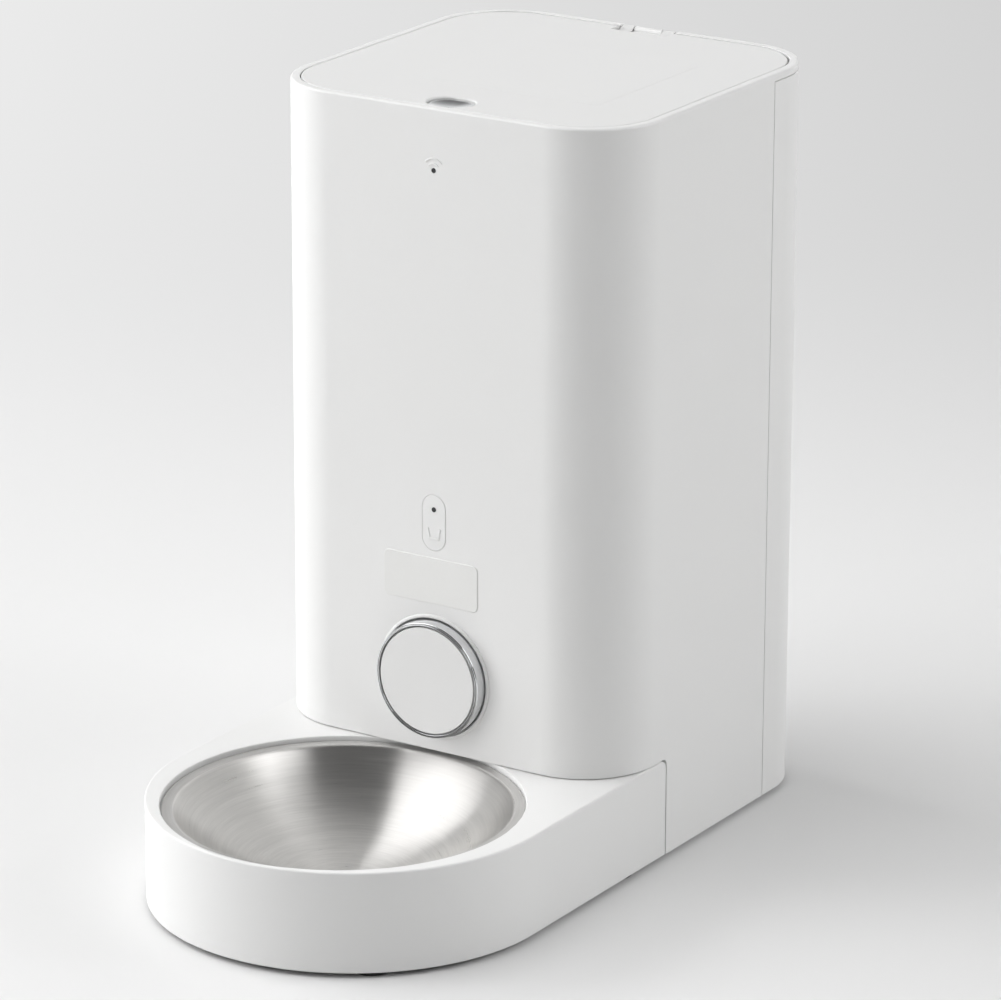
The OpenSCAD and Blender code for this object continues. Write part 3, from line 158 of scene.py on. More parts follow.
class TraySizes(bpy.types.PropertyGroup):
    """Sizes of the tray and of the bowl in it."""

    edge: length("Edge rounding", "Rounding of the tray's top edge", 0.8)
    back_round: length("Back rounding", "Rounding of the tray's upper back edge", 4)
    wall: length("Wall", "Thickness of the tray's wall", 2.5)
    deck: length("Deck", "Thickness of the tray's top", 3)
    hole: length("Bowl opening", "Radius of the bowl's opening", 72.5)
    seat: length("Seat", "Radius inside the ledge that carries the bowl", 69.4)
    flange: length("Bowl flange", "Width of the bowl's flat flange", 4.4)
    sheet: length("Bowl sheet", "Thickness of the bowl's steel", 0.8)


class OutletSizes(bpy.types.PropertyGroup):
    """Sizes of the round food outlet."""

    ring_wall: length("Ring wall", "Thickness of the bright ring", 1.7)
    ring_lean: length("Ring lean", "How much the ring narrows towards the front", 0.4)
    ring_foot: length("Ring foot", "Height of the ring's back edge over the face, below zero behind it", -0.4)
    bezel_in: length("Bezel inside", "Inner radius of the white bezel", 23.9)
    bezel_bore: length("Bezel bore", "Radius of the bezel's mouth around the ring", 25.1)
    bezel_out: length("Bezel outside", "Radius where the bezel's flare starts", 25.4)
    bezel_flare: length("Bezel flare", "Width of the bezel's rounded outer edge", 1.1)
    bezel_height: length("Bezel height", "How far the bezel stands in front of the face", 0.75)
    cap: length("Cap radius", "Radius of the white cap inside the ring", 22.4)


class FinishColours(bpy.types.PropertyGroup):
    """Colours of the finishes, in linear light."""

    white: tint("White plastic", "Satin white of the housing, the lid and the tray", (0.80, 0.80, 0.795))
    ivory: tint("Ivory plastic", "Inside of the food bin and of the chute", (0.78, 0.76, 0.70))
    grey: tint("Grey plastic", "Base frame and the battery door", (0.42, 0.43, 0.44))
    dark: tint("Dark plastic", "Underside and the board's parts", (0.045, 0.045, 0.05))
    gear: tint("Gear plastic", "Impeller, gears and the latch", (0.70, 0.69, 0.64))
    label: tint("Label", "Blank label on the front", (0.78, 0.78, 0.768))
    steel: tint("Bowl steel", "Brushed steel of the bowl", (0.66, 0.65, 0.635))
    chrome: tint("Chrome", "Bright plating of the outlet's ring and of the lid's button", (0.80, 0.81, 0.82))
    brass: tint("Brass", "Contacts, bush and pinions", (0.72, 0.55, 0.25))
    board: tint("Board", "Solder mask of the circuit boards", (0.04, 0.22, 0.12))
    rubber: tint("Rubber", "Feet", (0.028, 0.028, 0.028))
    silicone: tint("Silicone", "Seal and the soft tips of the blades", (0.55, 0.55, 0.54))
    floor: tint("Floor", "Pale studio floor", (0.79, 0.79, 0.79))
    # The far sweep glows with painted light, lighter on the left and darker on the right as painted shade
    painted_glow_left: tint("Sweep left", "Far part of the floor on the left", (0.85, 0.85, 0.85))
    painted_glow_right: tint("Sweep right", "Far part of the floor on the right", (0.64, 0.64, 0.64))


class StudioLevels(bpy.types.PropertyGroup):
    """Levels of the studio's lamps and of the room."""

    key: power("Key", "Large lamp behind on the left", 41)
    side: power("Side", "Lamp in front on the left", 19.5)
    fill: power("Fill", "Lamp on the right", 22)
    card: power("Card", "Pale card in front on the right", 9.5)
    top: power("Top", "Lamp overhead", 62)
    bounce: power("Bounce", "Light that the bowl throws back", 0.024)
    left_panel: power("Left panel", "Panel that metal mirrors on the left", 50)
    right_panel: power("Right panel", "Panel that metal mirrors on the right", 38)
    skyline: FloatProperty(name="Skyline", description="Room near the floor, behind the feeder", default=0.9)
    zenith: FloatProperty(name="Zenith", description="Room overhead", default=0.05)


def sizes(name):
    """The scene's own copy of one of the size groups."""
    return getattr(bpy.context.scene, "feeder_" + name)


def maths(operation, swapped=False):
    """A method that joins a wire and another value by one Math node."""
    def method(self, other):
        first, second = (other, self) if swapped else (self, other)
        return self.paint.node("ShaderNodeMath", {"operation": operation}, {0: first, 1: second})
    return method


class Wire:
    """A node's output that adds Math nodes when it is used in arithmetic."""

    def __init__(self, paint, socket):
        self.paint = paint
        self.socket = socket

    __add__ = maths("ADD")
    __radd__ = maths("ADD", True)
    __sub__ = maths("SUBTRACT")
    __rsub__ = maths("SUBTRACT", True)
    __mul__ = maths("MULTIPLY")
    __rmul__ = maths("MULTIPLY", True)
    __gt__ = maths("GREATER_THAN")
    __lt__ = maths("LESS_THAN")


class Nodes:
    """A node tree under construction."""

    def __init__(self, tree):
        self.tree = tree

    def put(self, socket, value):
        """Links a wire to a socket, or sets a plain value on it."""
        if isinstance(value, Wire):
            self.tree.links.new(value.socket, socket)
        else:
            socket.default_value = value

    def node(self, kind, settings, inputs, output=0):
        """Adds a node of a type, sets it up, then fills its sockets, and returns one output."""
        node = self.tree.nodes.new(kind)
        for key, value in settings.items():
            if key == "stops":
                for element, (place, level) in zip(node.color_ramp.elements, value):
                    element.position = place
                    element.color = (level, level, level, 1)
            else:
                setattr(node, key, value)
        for key, value in inputs.items():
            self.put(node.inputs[key], value)
        return Wire(self, node.outputs[output])

    def vector(self, operation, inputs, output=0):
        """Adds a Vector Math node."""
        return self.node("ShaderNodeVectorMath", {"operation": operation}, inputs, output)


class Paint(Nodes):
    """A material under construction: one Principled shader and the nodes that feed it."""

    def __init__(self, name):
        self.material = bpy.data.materials.new(name)
        self.material.use_nodes = True
        super().__init__(self.material.node_tree)
        self.tree.nodes.clear()
        self.shader = self.tree.nodes.new("ShaderNodeBsdfPrincipled")
        self.output = self.tree.nodes.new("ShaderNodeOutputMaterial")
        self.tree.links.new(self.shader.outputs[0], self.output.inputs[0])
        self.here = self.point()

    def point(self, centre=(0, 0, 0), scale=(1, 1, 1)):
        """Object coordinates, measured from a centre and stretched along each axis."""
        here = self.node("ShaderNodeTexCoord", {}, {}, "Object")
        shift = tuple(-c * s for c, s in zip(centre, scale))
        return self.node("ShaderNodeMapping", {}, {"Vector": here, "Location": shift, "Scale": scale})

    def noise(self, scale, detail=2.0, rough=0.5, point=None):
        """Fractal noise from 0 to 1 with features of about 1 / scale metres."""
        inputs = {"Vector": point or self.here, "Scale": scale, "Detail": detail, "Roughness": rough}
        return self.node("ShaderNodeTexNoise", {}, inputs)

    def cells(self, scale, **settings):
        """Distance to the nearest of many scattered points."""
        return self.node("ShaderNodeTexVoronoi", settings, {"Vector": self.here, "Scale": scale})

    def blend(self, factor, first, second):
        """A colour between two colours."""
        colours = {0: factor}
        for socket, colour in ((6, first), (7, second)):
            colours[socket] = colour if isinstance(colour, Wire) else (*colour, 1)
        return self.node("ShaderNodeMix", {"data_type": "RGBA"}, colours, 2)

    def tones(self, factor, colour, low, high):
        """A colour between a darker and a lighter shade of one colour."""
        return self.blend(factor, shade(colour, low), shade(colour, high))

    def bump(self, height, strength, depth):
        """A normal tilted by a height pattern whose full range is depth metres."""
        return self.node("ShaderNodeBump", {}, {"Height": height, "Strength": strength, "Distance": depth})

    def finish(self, **values):
        """Fills the shader's sockets, named with underscores for spaces, and returns the material."""
        for key, value in values.items():
            self.put(self.shader.inputs[key.replace("_", " ")], value)
        return self.material


def shade(colour, level):
    """A colour made lighter or darker by a factor."""
    return tuple(min(1.0, c * level) for c in colour)


def moulded(name, colour, rough, grain, depth, mottle=0.02):
    """Moulded plastic: a fine spark-eroded grain, a slow change of gloss and a faint mottle in the colour."""
    paint = Paint(name)
    fine = paint.noise(grain, 2, 0.6)
    base = paint.tones(paint.noise(14, 3), colour, 1 - mottle, 1 + mottle)
    gloss = rough - 0.03 + 0.06 * paint.noise(60) + 0.03 * fine
    return paint.finish(Base_Color=base, Roughness=gloss, Normal=paint.bump(fine, 0.25, depth), IOR=1.49)


def brushed_bowl(name, colour, grain, metal):
    """Turned steel: fine rings about the bowl's axis in gloss, tone and relief, over a few long streaks.

    The grain, from 0 to 1, says how far a reflection is drawn out across the rings. The metal, from 0 to 1,
    is how much of the surface mirrors as bare metal does.
    """
    paint = Paint(name)
    flat = paint.vector("MULTIPLY", {0: paint.point(BOWL_MIDDLE), 1: (1, 1, 0)})
    radius = paint.vector("LENGTH", {0: flat}, 1)
    along = paint.vector("SCALE", {0: paint.vector("NORMALIZE", {0: flat}), "Scale": 0.0016})
    lift = paint.node("ShaderNodeCombineXYZ", {}, {2: radius})
    track = paint.vector("ADD", {0: along, 1: lift})
    rings = paint.noise(1500, 3, 0.65, track)
    tone = 0.55 * rings + 0.45 * paint.noise(320, point=track)
    base = paint.tones(tone, colour, 0.72, 1.24)
    normal = paint.bump(rings, 0.1, 0.00003)
    paint.finish(Base_Color=base, Roughness=0.20 + 0.22 * tone, Metallic=metal, Normal=normal)
    return paint.finish(Anisotropic=grain, Anisotropic_Rotation=0.25)


def plated(name, colour, rough):
    """Polished plating: a mirror with faint wipe marks in its gloss and a very slow ripple."""
    paint = Paint(name)
    marks = paint.noise(1, 3, 0.6, paint.point(scale=(40, 40, 400)))
    base = paint.tones(paint.noise(30), colour, 0.97, 1)
    normal = paint.bump(paint.noise(90), 0.05, 0.00004)
    return paint.finish(Base_Color=base, Roughness=rough + 0.05 * marks, Metallic=1.0, Normal=normal)


def satin_metal(name, colour, rough, grain, stretch):
    """Satin metal: drawn lines along one axis in gloss and relief, with a cloudy tone."""
    paint = Paint(name)
    lines = paint.noise(grain, 3, 0.6, paint.point(scale=stretch))
    base = paint.tones(paint.noise(120, 3), colour, 0.88, 1.06)
    gloss = rough - 0.06 + 0.12 * lines
    normal = paint.bump(lines, 0.2, 0.00003)
    return paint.finish(Base_Color=base, Roughness=gloss, Metallic=1.0, Normal=normal)


def soft_rubber(name, colour, rough):
    """Matte rubber: a pebbled skin with dusty patches that are a little paler."""
    paint = Paint(name)
    dust = paint.noise(90, 4, 0.6)
    base = paint.tones(dust, colour, 0.85, 1.25)
    normal = paint.bump(paint.cells(2600), 0.25, 0.00006)
    return paint.finish(Base_Color=base, Roughness=rough - 0.08 + 0.14 * dust, Normal=normal)


def dark_lens(name):
    """Smoked lens: a near-black clear plastic with a faint depth of tone."""
    paint = Paint(name)
    cloud = paint.noise(900)
    base = paint.blend(cloud, (0.010, 0.010, 0.012), (0.022, 0.022, 0.026))
    return paint.finish(Base_Color=base, Roughness=0.08 + 0.06 * cloud, Coat_Weight=0.4)


def solder_mask(name, colour):
    """Circuit board: solder mask over square-cornered copper tracks, with pale pads in between."""
    paint = Paint(name)
    tracks = paint.cells(420, feature="F1", distance="CHEBYCHEV")
    raised = paint.node("ShaderNodeValToRGB", {"stops": [(0.42, 0), (0.5, 1)]}, {0: tracks})
    level = paint.node("ShaderNodeRGBToBW", {}, {0: raised})
    pad = paint.cells(260, feature="F1") < 0.16
    base = paint.blend(pad, paint.tones(level, colour, 1, 1.5), (0.62, 0.60, 0.52))
    normal = paint.bump(level, 0.4, 0.00004)
    return paint.finish(Base_Color=base, Roughness=0.32 + 0.1 * level, Metallic=0.8 * pad, Normal=normal)


def cell_sleeve(name):
    """Shrunk sleeve of a cell: dark with a coppery shoulder band at one end and small wrinkles."""
    paint = Paint(name)
    low, high = (corner[1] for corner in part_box("battery_cells"))
    place = paint.node("ShaderNodeSeparateXYZ", {}, {0: paint.here}, 1)
    band = place > (high - 0.22 * (high - low))
    wrinkles = paint.noise(160, 3, point=paint.point(scale=(1, 6, 1)))
    base = paint.blend(band, (0.045, 0.05, 0.06), (0.50, 0.30, 0.14))
    gloss = 0.26 + 0.1 * wrinkles
    normal = paint.bump(wrinkles, 0.15, 0.0001)
    return paint.finish(Base_Color=base, Roughness=gloss, Metallic=0.6 * band, Normal=normal)


def woven_pack(name, colour):
    """Non-woven pouch: tangled fibres with a grid of pressed spots, where two sets of waves cross."""
    paint = Paint(name)
    fibres = paint.noise(1400, 5, 0.75)
    waves = []
    for way in ("X", "Y"):
        settings = {"wave_type": "BANDS", "bands_direction": way}
        waves.append(paint.node("ShaderNodeTexWave", settings, {"Vector": paint.here, "Scale": 260}, 1))
    height = fibres - 0.8 * (waves[0] * waves[1])
    base = paint.tones(fibres, colour, 0.86, 1)
    return paint.finish(Base_Color=base, Roughness=0.85, Normal=paint.bump(height, 0.5, 0.00015))


def label_stock(name, colour, rough):
    """Coated label: smooth paper under varnish, with a trace of fibre."""
    paint = Paint(name)
    fibre = paint.noise(900, 4, 0.6)
    base = paint.tones(fibre, colour, 0.985, 1.01)
    normal = paint.bump(fibre, 0.06, 0.00003)
    return paint.finish(Base_Color=base, Roughness=rough + 0.05 * fibre, Normal=normal)


def studio_floor(name, colour, left, right):
    """Painted studio floor: an even pale coat near the feeder, which runs into a bright sweep that glows with
    painted light.

    The sweep's share grows from none to all between two distances, only for rays that look at the floor.
    Its tone runs from left to right across the camera's view, as painted light on the left and painted shade
    on the right.
    """
    paint = Paint(name)
    base = paint.tones(paint.noise(1.2), colour, 0.99, 1.01)
    gloss = 0.45 + 0.06 * paint.noise(700)
    paint.finish(Base_Color=base, Roughness=gloss, Specular_IOR_Level=0.25)
    turn = {"Vector": paint.here, "Rotation": (0, 0, -math.radians(CAMERA_YAW))}
    across = paint.node("ShaderNodeSeparateXYZ", {}, {0: paint.node("ShaderNodeMapping", {}, turn)})
    away = paint.vector("LENGTH", {0: paint.here}, 1)
    half_width, near, far = 0.4, 0.3, 1.1
    span = {0: across, 1: -half_width, 2: half_width}
    side = paint.node("ShaderNodeMapRange", {"interpolation_type": "LINEAR"}, span)
    span = {0: away, 1: near, 2: far}
    reach = paint.node("ShaderNodeMapRange", {"interpolation_type": "SMOOTHSTEP"}, span)
    looks = [paint.node("ShaderNodeLightPath", {}, {}, kind)
             for kind in ("Is Camera Ray", "Is Glossy Ray", "Is Transmission Ray")]
    share = reach * paint.node("ShaderNodeClamp", {}, {0: looks[0] + looks[1] + looks[2]})
    # The glow is painted light, and it darkens towards the right as painted shade
    glow = paint.node("ShaderNodeEmission", {}, {0: paint.blend(side, left, right), 1: 1.0})
    coat = Wire(paint, paint.shader.outputs[0])
    mixed = paint.node("ShaderNodeMixShader", {}, {0: share, 1: coat, 2: glow})
    paint.put(paint.output.inputs[0], mixed)
    return paint.material


# The finishes made so far, by slot
made = {}


def finish_of(slot):
    """The material of a slot of the record, or of one of the scene's own finishes, made once."""
    if slot not in made:
        made[slot] = new_finish(slot)
    return made[slot]


def new_finish(slot):
    """Makes the material of a slot."""
    c = sizes("colours")
    # Plastics: roughness, grain per metre, depth of the grain in metres and mottle of the colour
    # Metals: roughness, grain per metre and stretch of the grain along each axis
    satin = {"rough": 0.36, "grain": 3200, "depth": 0.00004, "mottle": 0.006}
    recipes = {
        "shell_white": lambda: moulded(slot, c.white, **satin),
        # A darker copy of the housing's white, as painted shade on the outlet's cap
        "cap_painted_shade_white": lambda: moulded(slot, shade(c.white, 0.9), **satin),
        # A darker copy of the housing's white, as painted shade on the lid
        "lid_painted_shade_white": lambda: moulded(slot, shade(c.white, 0.955), **satin),
        "inner_ivory": lambda: moulded(slot, c.ivory, 0.42, 2400, 0.00005),
        "frame_grey": lambda: moulded(slot, c.grey, 0.52, 1800, 0.00008),
        "dark_plastic": lambda: moulded(slot, c.dark, 0.50, 1800, 0.00008, 0.08),
        "gear_plastic": lambda: moulded(slot, c.gear, 0.40, 2600, 0.00004),
        "lens_dark": lambda: dark_lens(slot),
        "bowl_steel": lambda: brushed_bowl(slot, c.steel, grain=0.88, metal=0.92),
        "flange_steel": lambda: brushed_bowl(slot, shade(c.steel, 0.8), grain=0.1, metal=0.35),
        "trim_chrome": lambda: plated(slot, c.chrome, 0.045),
        "motor_steel": lambda: satin_metal(slot, (0.52, 0.53, 0.54), 0.36, 700, (1, 1, 0.15)),
        "screw_steel": lambda: satin_metal(slot, (0.45, 0.45, 0.46), 0.34, 1500, (1, 1, 1)),
        "pin_steel": lambda: satin_metal(slot, (0.58, 0.58, 0.59), 0.26, 1500, (0.1, 1, 1)),
        "contact_brass": lambda: satin_metal(slot, c.brass, 0.30, 1200, (1, 1, 0.2)),
        "cell_wrap": lambda: cell_sleeve(slot),
        "board_green": lambda: solder_mask(slot, c.board),
        "foot_rubber": lambda: soft_rubber(slot, c.rubber, 0.85),
        "soft_seal": lambda: soft_rubber(slot, c.silicone, 0.62),
        "pack_cloth": lambda: woven_pack(slot, (0.86, 0.85, 0.82)),
        "label_paper": lambda: label_stock(slot, c.label, 0.34),
        # The film's white is darkened with the lid's painted shade
        "film_painted_shade": lambda: label_stock(slot, shade(c.white, 0.96), 0.34),
        "floor_paint": lambda: studio_floor(slot, c.floor, c.painted_glow_left, c.painted_glow_right),
    }
    return recipes[slot]()


def rounded_plan(x0, x1, y0, y1, radius, inset=0.0, steps=24):
    """Rounded rectangle, anticlockwise: arcs of radius minus inset about four fixed centres."""
    cx = np.array([x1 - radius, x0 + radius, x0 + radius, x1 - radius])
    cy = np.array([y1 - radius, y1 - radius, y0 + radius, y0 + radius])
    angle = np.arange(4)[:, None] * math.pi / 2 + np.linspace(0, math.pi / 2, steps)[None, :]
    x = cx[:, None] + (radius - inset) * np.cos(angle)
    y = cy[:, None] + (radius - inset) * np.sin(angle)
    return np.stack([x, y], axis=-1).reshape(-1, 2)


def oval_plan(cx, cy, w, h, inset=0.0, steps=24):
    """Oval with straight sides, as a rounded rectangle whose corner radius is half of its short side."""
    radius = min(w, h) / 2
    return rounded_plan(cx - w / 2, cx + w / 2, cy - h / 2, cy + h / 2, radius, inset, steps)


def round_plan(cx, cy, radius, steps=128):
    """Circle, anticlockwise."""
    angle = np.linspace(0, 2 * math.pi, steps, endpoint=False)
    return np.stack([cx + radius * np.cos(angle), cy + radius * np.sin(angle)], axis=-1)


def box_plan(x0, y0, x1, y1):
    """Plain rectangle, anticlockwise."""
    return np.array([[x0, y0], [x1, y0], [x1, y1], [x0, y1]])


def arc(c0, c1, radius, start, end, steps=6):
    """Points of an arc about a centre, between two angles in degrees."""
    angle = np.radians(np.linspace(start, end, steps))
    return np.stack([c0 + radius * np.cos(angle), c1 + radius * np.sin(angle)], axis=-1)


def stacked(outlines, levels, axis="z"):
    """Grid of rings: each outline lies across an axis at its own level along that axis."""
    flat = np.asarray(outlines, dtype=float)
    level = np.broadcast_to(np.asarray(levels, dtype=float)[:, None], flat.shape[:2])
    a, b = flat[..., 0], flat[..., 1]
    order = {"z": (a, b, level), "y": (a, level, b), "x": (level, a, b)}
    return np.stack(order[axis], axis=-1)


def turned(profile, centre, axis="z", steps=160):
    """Grid of rings: a profile of radius and height turned about an axis through a centre."""
    profile = np.asarray(profile, dtype=float)
    angle = np.linspace(0, 2 * math.pi, steps, endpoint=False)
    a = profile[:, :1] * np.cos(angle)[None, :]
    b = profile[:, :1] * np.sin(angle)[None, :]
    h = np.broadcast_to(profile[:, 1:], a.shape)
    order = {"z": (a, b, h), "y": (a, -h, b)}
    return np.stack(order[axis], axis=-1) + np.asarray(centre, dtype=float)


def piece(name, grid, loop=False, caps=(False, False)):
    """Mesh object from a grid of rings: quads between rings, and a flat face on an end that is capped."""
    rows, cols = grid.shape[:2]
    index = np.arange(rows * cols).reshape(rows, cols)
    low = index if loop else index[:-1]
    high = np.roll(index, -1, axis=0) if loop else index[1:]
    quads = np.stack([low, np.roll(low, -1, axis=1), np.roll(high, -1, axis=1), high], axis=-1)
    faces = quads.reshape(-1, 4).tolist()
    faces += [index[end].tolist() for end, capped in zip((0, -1), caps) if capped]
    mesh = bpy.data.meshes.new(name)
    mesh.from_pydata(grid.reshape(-1, 3).tolist(), [], faces)
    close_up(mesh)
    obj = bpy.data.objects.new(name, mesh)
    bpy.context.scene.collection.objects.link(obj)
    return obj


def close_up(mesh):
    """Merges seams and poles, drops faces without area and turns all faces outwards."""
    bm = bmesh.new()
    bm.from_mesh(mesh)
    bmesh.ops.remove_doubles(bm, verts=bm.verts, dist=2e-7)
    bmesh.ops.dissolve_degenerate(bm, edges=bm.edges, dist=1e-7)
    bmesh.ops.recalc_face_normals(bm, faces=bm.faces)
    bm.to_mesh(mesh)
    bm.free()


def lofted(name, plan, section, axis="z", loop=False):
    """Solid whose rings are a plan drawn in by a section's distances, at the section's levels.

    A section that loops back to its start makes a hollow band, and another one is capped at both ends.
    """
    section = np.asarray(section, dtype=float)
    rings = [plan(inset) for inset in section[:, 0]]
    return piece(name, stacked(rings, section[:, 1], axis), loop, (not loop, not loop))


def prism(name, outline, low, high, axis="z"):
    """Closed solid: an outline carried straight along an axis."""
    return lofted(name, lambda inset: outline, [(0, low), (0, high)], axis)


def drill(outline, face):
    """Cutter for a hole of an outline, through the wall at a front or rear face."""
    return prism("cut_hole", outline, face - NEAR, face + NEAR, "y")


def settle(obj):
    """Replaces an object's mesh by its mesh with the modifiers worked in."""
    shown = obj.evaluated_get(bpy.context.evaluated_depsgraph_get())
    mesh = bpy.data.meshes.new_from_object(shown)
    old = obj.data
    obj.modifiers.clear()
    obj.data = mesh
    bpy.data.meshes.remove(old)
    mesh.name = obj.name


def joined(obj, others, operation):
    """Adds solids to an object, or cuts them out of it, one at a time."""
    for other in others:
        cut = obj.modifiers.new("cut", "BOOLEAN")
        cut.operation = operation
        cut.solver = "EXACT"
        cut.object = other
        settle(obj)
        bpy.data.objects.remove(other)


def softened(obj, width, angle):
    """Gives the edges over an angle a small round, then smooths the rest."""
    if width > 0:
        bevel = obj.modifiers.new("soft edge", "BEVEL")
        bevel.width = width
        bevel.segments = 2
        bevel.limit_method = "ANGLE"
        bevel.angle_limit = math.radians(angle)
        bevel.use_clamp_overlap = True
        settle(obj)
    obj.data.shade_smooth()
    obj.data.set_sharp_from_angle(angle=math.radians(angle))
    weighted = obj.modifiers.new("even normals", "WEIGHTED_NORMAL")
    weighted.keep_sharp = True
    weighted.weight = 80
    settle(obj)


def dressed(obj, slot, body, *nodes, record_slot=None, soft=0.0, angle=40):
    """Softens a piece, gives it its finish and the body it moves with, and hides the nodes it stands for."""
    softened(obj, soft, angle)
    obj.data.materials.clear()
    obj.data.materials.append(finish_of(slot))
    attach(obj, body)
    if nodes:
        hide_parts(*nodes)


def housing_plan(inset=0.0):
    """The housing's plan, drawn in by a distance."""
    return rounded_plan(SHELL_LOW[0], SHELL_HIGH[0], FRONT, BACK, sizes("housing").corner, inset, 40)


def feed_plan(inset=0.0):
    """Outline of the feed button's face, inside its retaining flange, drawn in by a distance."""
    flange = 1.9 * MM
    w = FEED_HIGH[0] - FEED_LOW[0] - 2 * flange
    h = FEED_HIGH[2] - FEED_LOW[2] - 2 * flange
    return oval_plan(0, FEED_Z, w, h, inset)


class FEEDER_OT_housing(bpy.types.Operator):
    """Front shell with its rim, and the rear cover"""

    bl_idname = "feeder.housing"
    bl_label = "Housing shells"

    def execute(self, context):
        s = sizes("housing")
        seam_y = BACK - s.cover_depth
        hinge = box_plan(-s.hinge_half, BACK - NEAR, s.hinge_half, BACK + NEAR)
        self.front_shell(s, seam_y, hinge)
        self.rear_cover(s, seam_y, hinge)
        return {"FINISHED"}

    def front_shell(self, s, seam_y, hinge):
        """Rim and wall as one section carried round the plan, less the notch, the back and the openings."""
        r = s.rim_round
        inner = 0.4 * MM
        ledge = TOP - s.rim_height
        section = np.concatenate([
            [[0, BASE]],
            arc(r, TOP - r, r, 180, 90, 8),
            arc(s.rim_width - inner, TOP - inner, inner, 90, 0, 5),
            [[s.rim_width, ledge], [s.wall, ledge], [s.wall, BASE]],
        ])
        shell = lofted("front_shell_skin", housing_plan, section, loop=True)
        r = s.notch_round
        notch_y = FRONT + s.notch_depth
        notch = np.concatenate([
            [[FRONT - FAR, BASE - NEAR], [notch_y, BASE - NEAR]],
            arc(notch_y - r, s.notch_height - r, r, 0, 90, 7),
            [[FRONT - FAR, s.notch_height]],
        ])
        outlet_ease = 0.2 * MM
        feed_gap = 0.4 * MM
        joined(shell, [
            prism("cut_notch", notch, -FAR, FAR, "x"),
            prism("cut_back", box_plan(-FAR, seam_y, FAR, FAR), BASE - NEAR, ledge),
            drill(round_plan(0, OUTLET[2], sizes("outlet").bezel_out + outlet_ease), FRONT),
            drill(feed_plan(-feed_gap), FRONT),
            drill(round_plan(0, STATUS_Z, LAMP_HOLE, 32), FRONT),
            prism("cut_hinge", hinge, TOP - NEAR, TOP + NEAR),
        ], "DIFFERENCE")
        dressed(shell, "shell_white", "housing", "front_shell", soft=s.softness)

    def rear_cover(self, s, seam_y, hinge):
        """Wall section carried round the plan, kept behind the seam, with tongues, inlet and screw holes."""
        upper = TOP - s.rim_height - s.seam
        r = 0.35 * MM
        section = np.concatenate([
            arc(r, BASE + r, r, 270, 180, 5),
            arc(r, upper - r, r, 180, 90, 5),
            [[s.wall, upper], [s.wall, BASE]],
        ])
        cover = lofted("rear_cover_skin", housing_plan, section, loop=True)
        ahead = box_plan(-FAR, -FAR, FAR, seam_y + s.seam)
        joined(cover, [prism("cut_front", ahead, BASE - NEAR, TOP)], "DIFFERENCE")
        joined(cover, self.tongues(s, seam_y, upper), "UNION")
        inlet_w, inlet_h = 11.4 * MM, 5.8 * MM
        screw_r, hole_r, sink_r = 2.8 * MM, 1.7 * MM, 3 * MM
        screw_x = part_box("cover_screws")[1][0] - screw_r
        screw_z = middle("cover_screws", 2)
        hinge_foot = BLOCK_HIGH[2] - 4.1 * MM
        cutters = [
            drill(oval_plan(0, middle("power_inlet", 2), inlet_w, inlet_h), BACK),
            prism("cut_hinge", hinge, hinge_foot, TOP),
        ]
        for x in (-screw_x, screw_x):
            cutters.append(drill(round_plan(x, screw_z, hole_r, 32), BACK))
            head = round_plan(x, screw_z, sink_r, 48)
            cutters.append(prism("cut_head", head, BACK - s.wall / 2, BACK + NEAR, "y"))
        joined(cover, cutters, "DIFFERENCE")
        dressed(cover, "shell_white", "housing", "rear_cover", soft=s.softness)

    def tongues(self, s, seam_y, upper):
        """A tongue behind each seam and the web that holds it.

        Each is a block: inner and outer edge, front and rear from the seam, foot and head from the ends.
        """
        half = SHELL_HIGH[0]
        near = half - s.wall - 2.2 * MM
        blocks = (
            (near, near + 2 * MM, -6 * MM, 8 * MM, 7.5 * MM, 10 * MM),
            (near + 1 * MM, half - s.wall / 2, 1.4 * MM, 7.5 * MM, 8 * MM, 10.5 * MM),
        )
        solids = []
        for side in (-1, 1):
            for inner, outer, front, rear, foot, head in blocks:
                x0, x1 = sorted((side * inner, side * outer))
                plan = box_plan(x0, seam_y + front, x1, seam_y + rear)
                solids.append(prism("tongue", plan, BASE + foot, upper - head))
        return solids


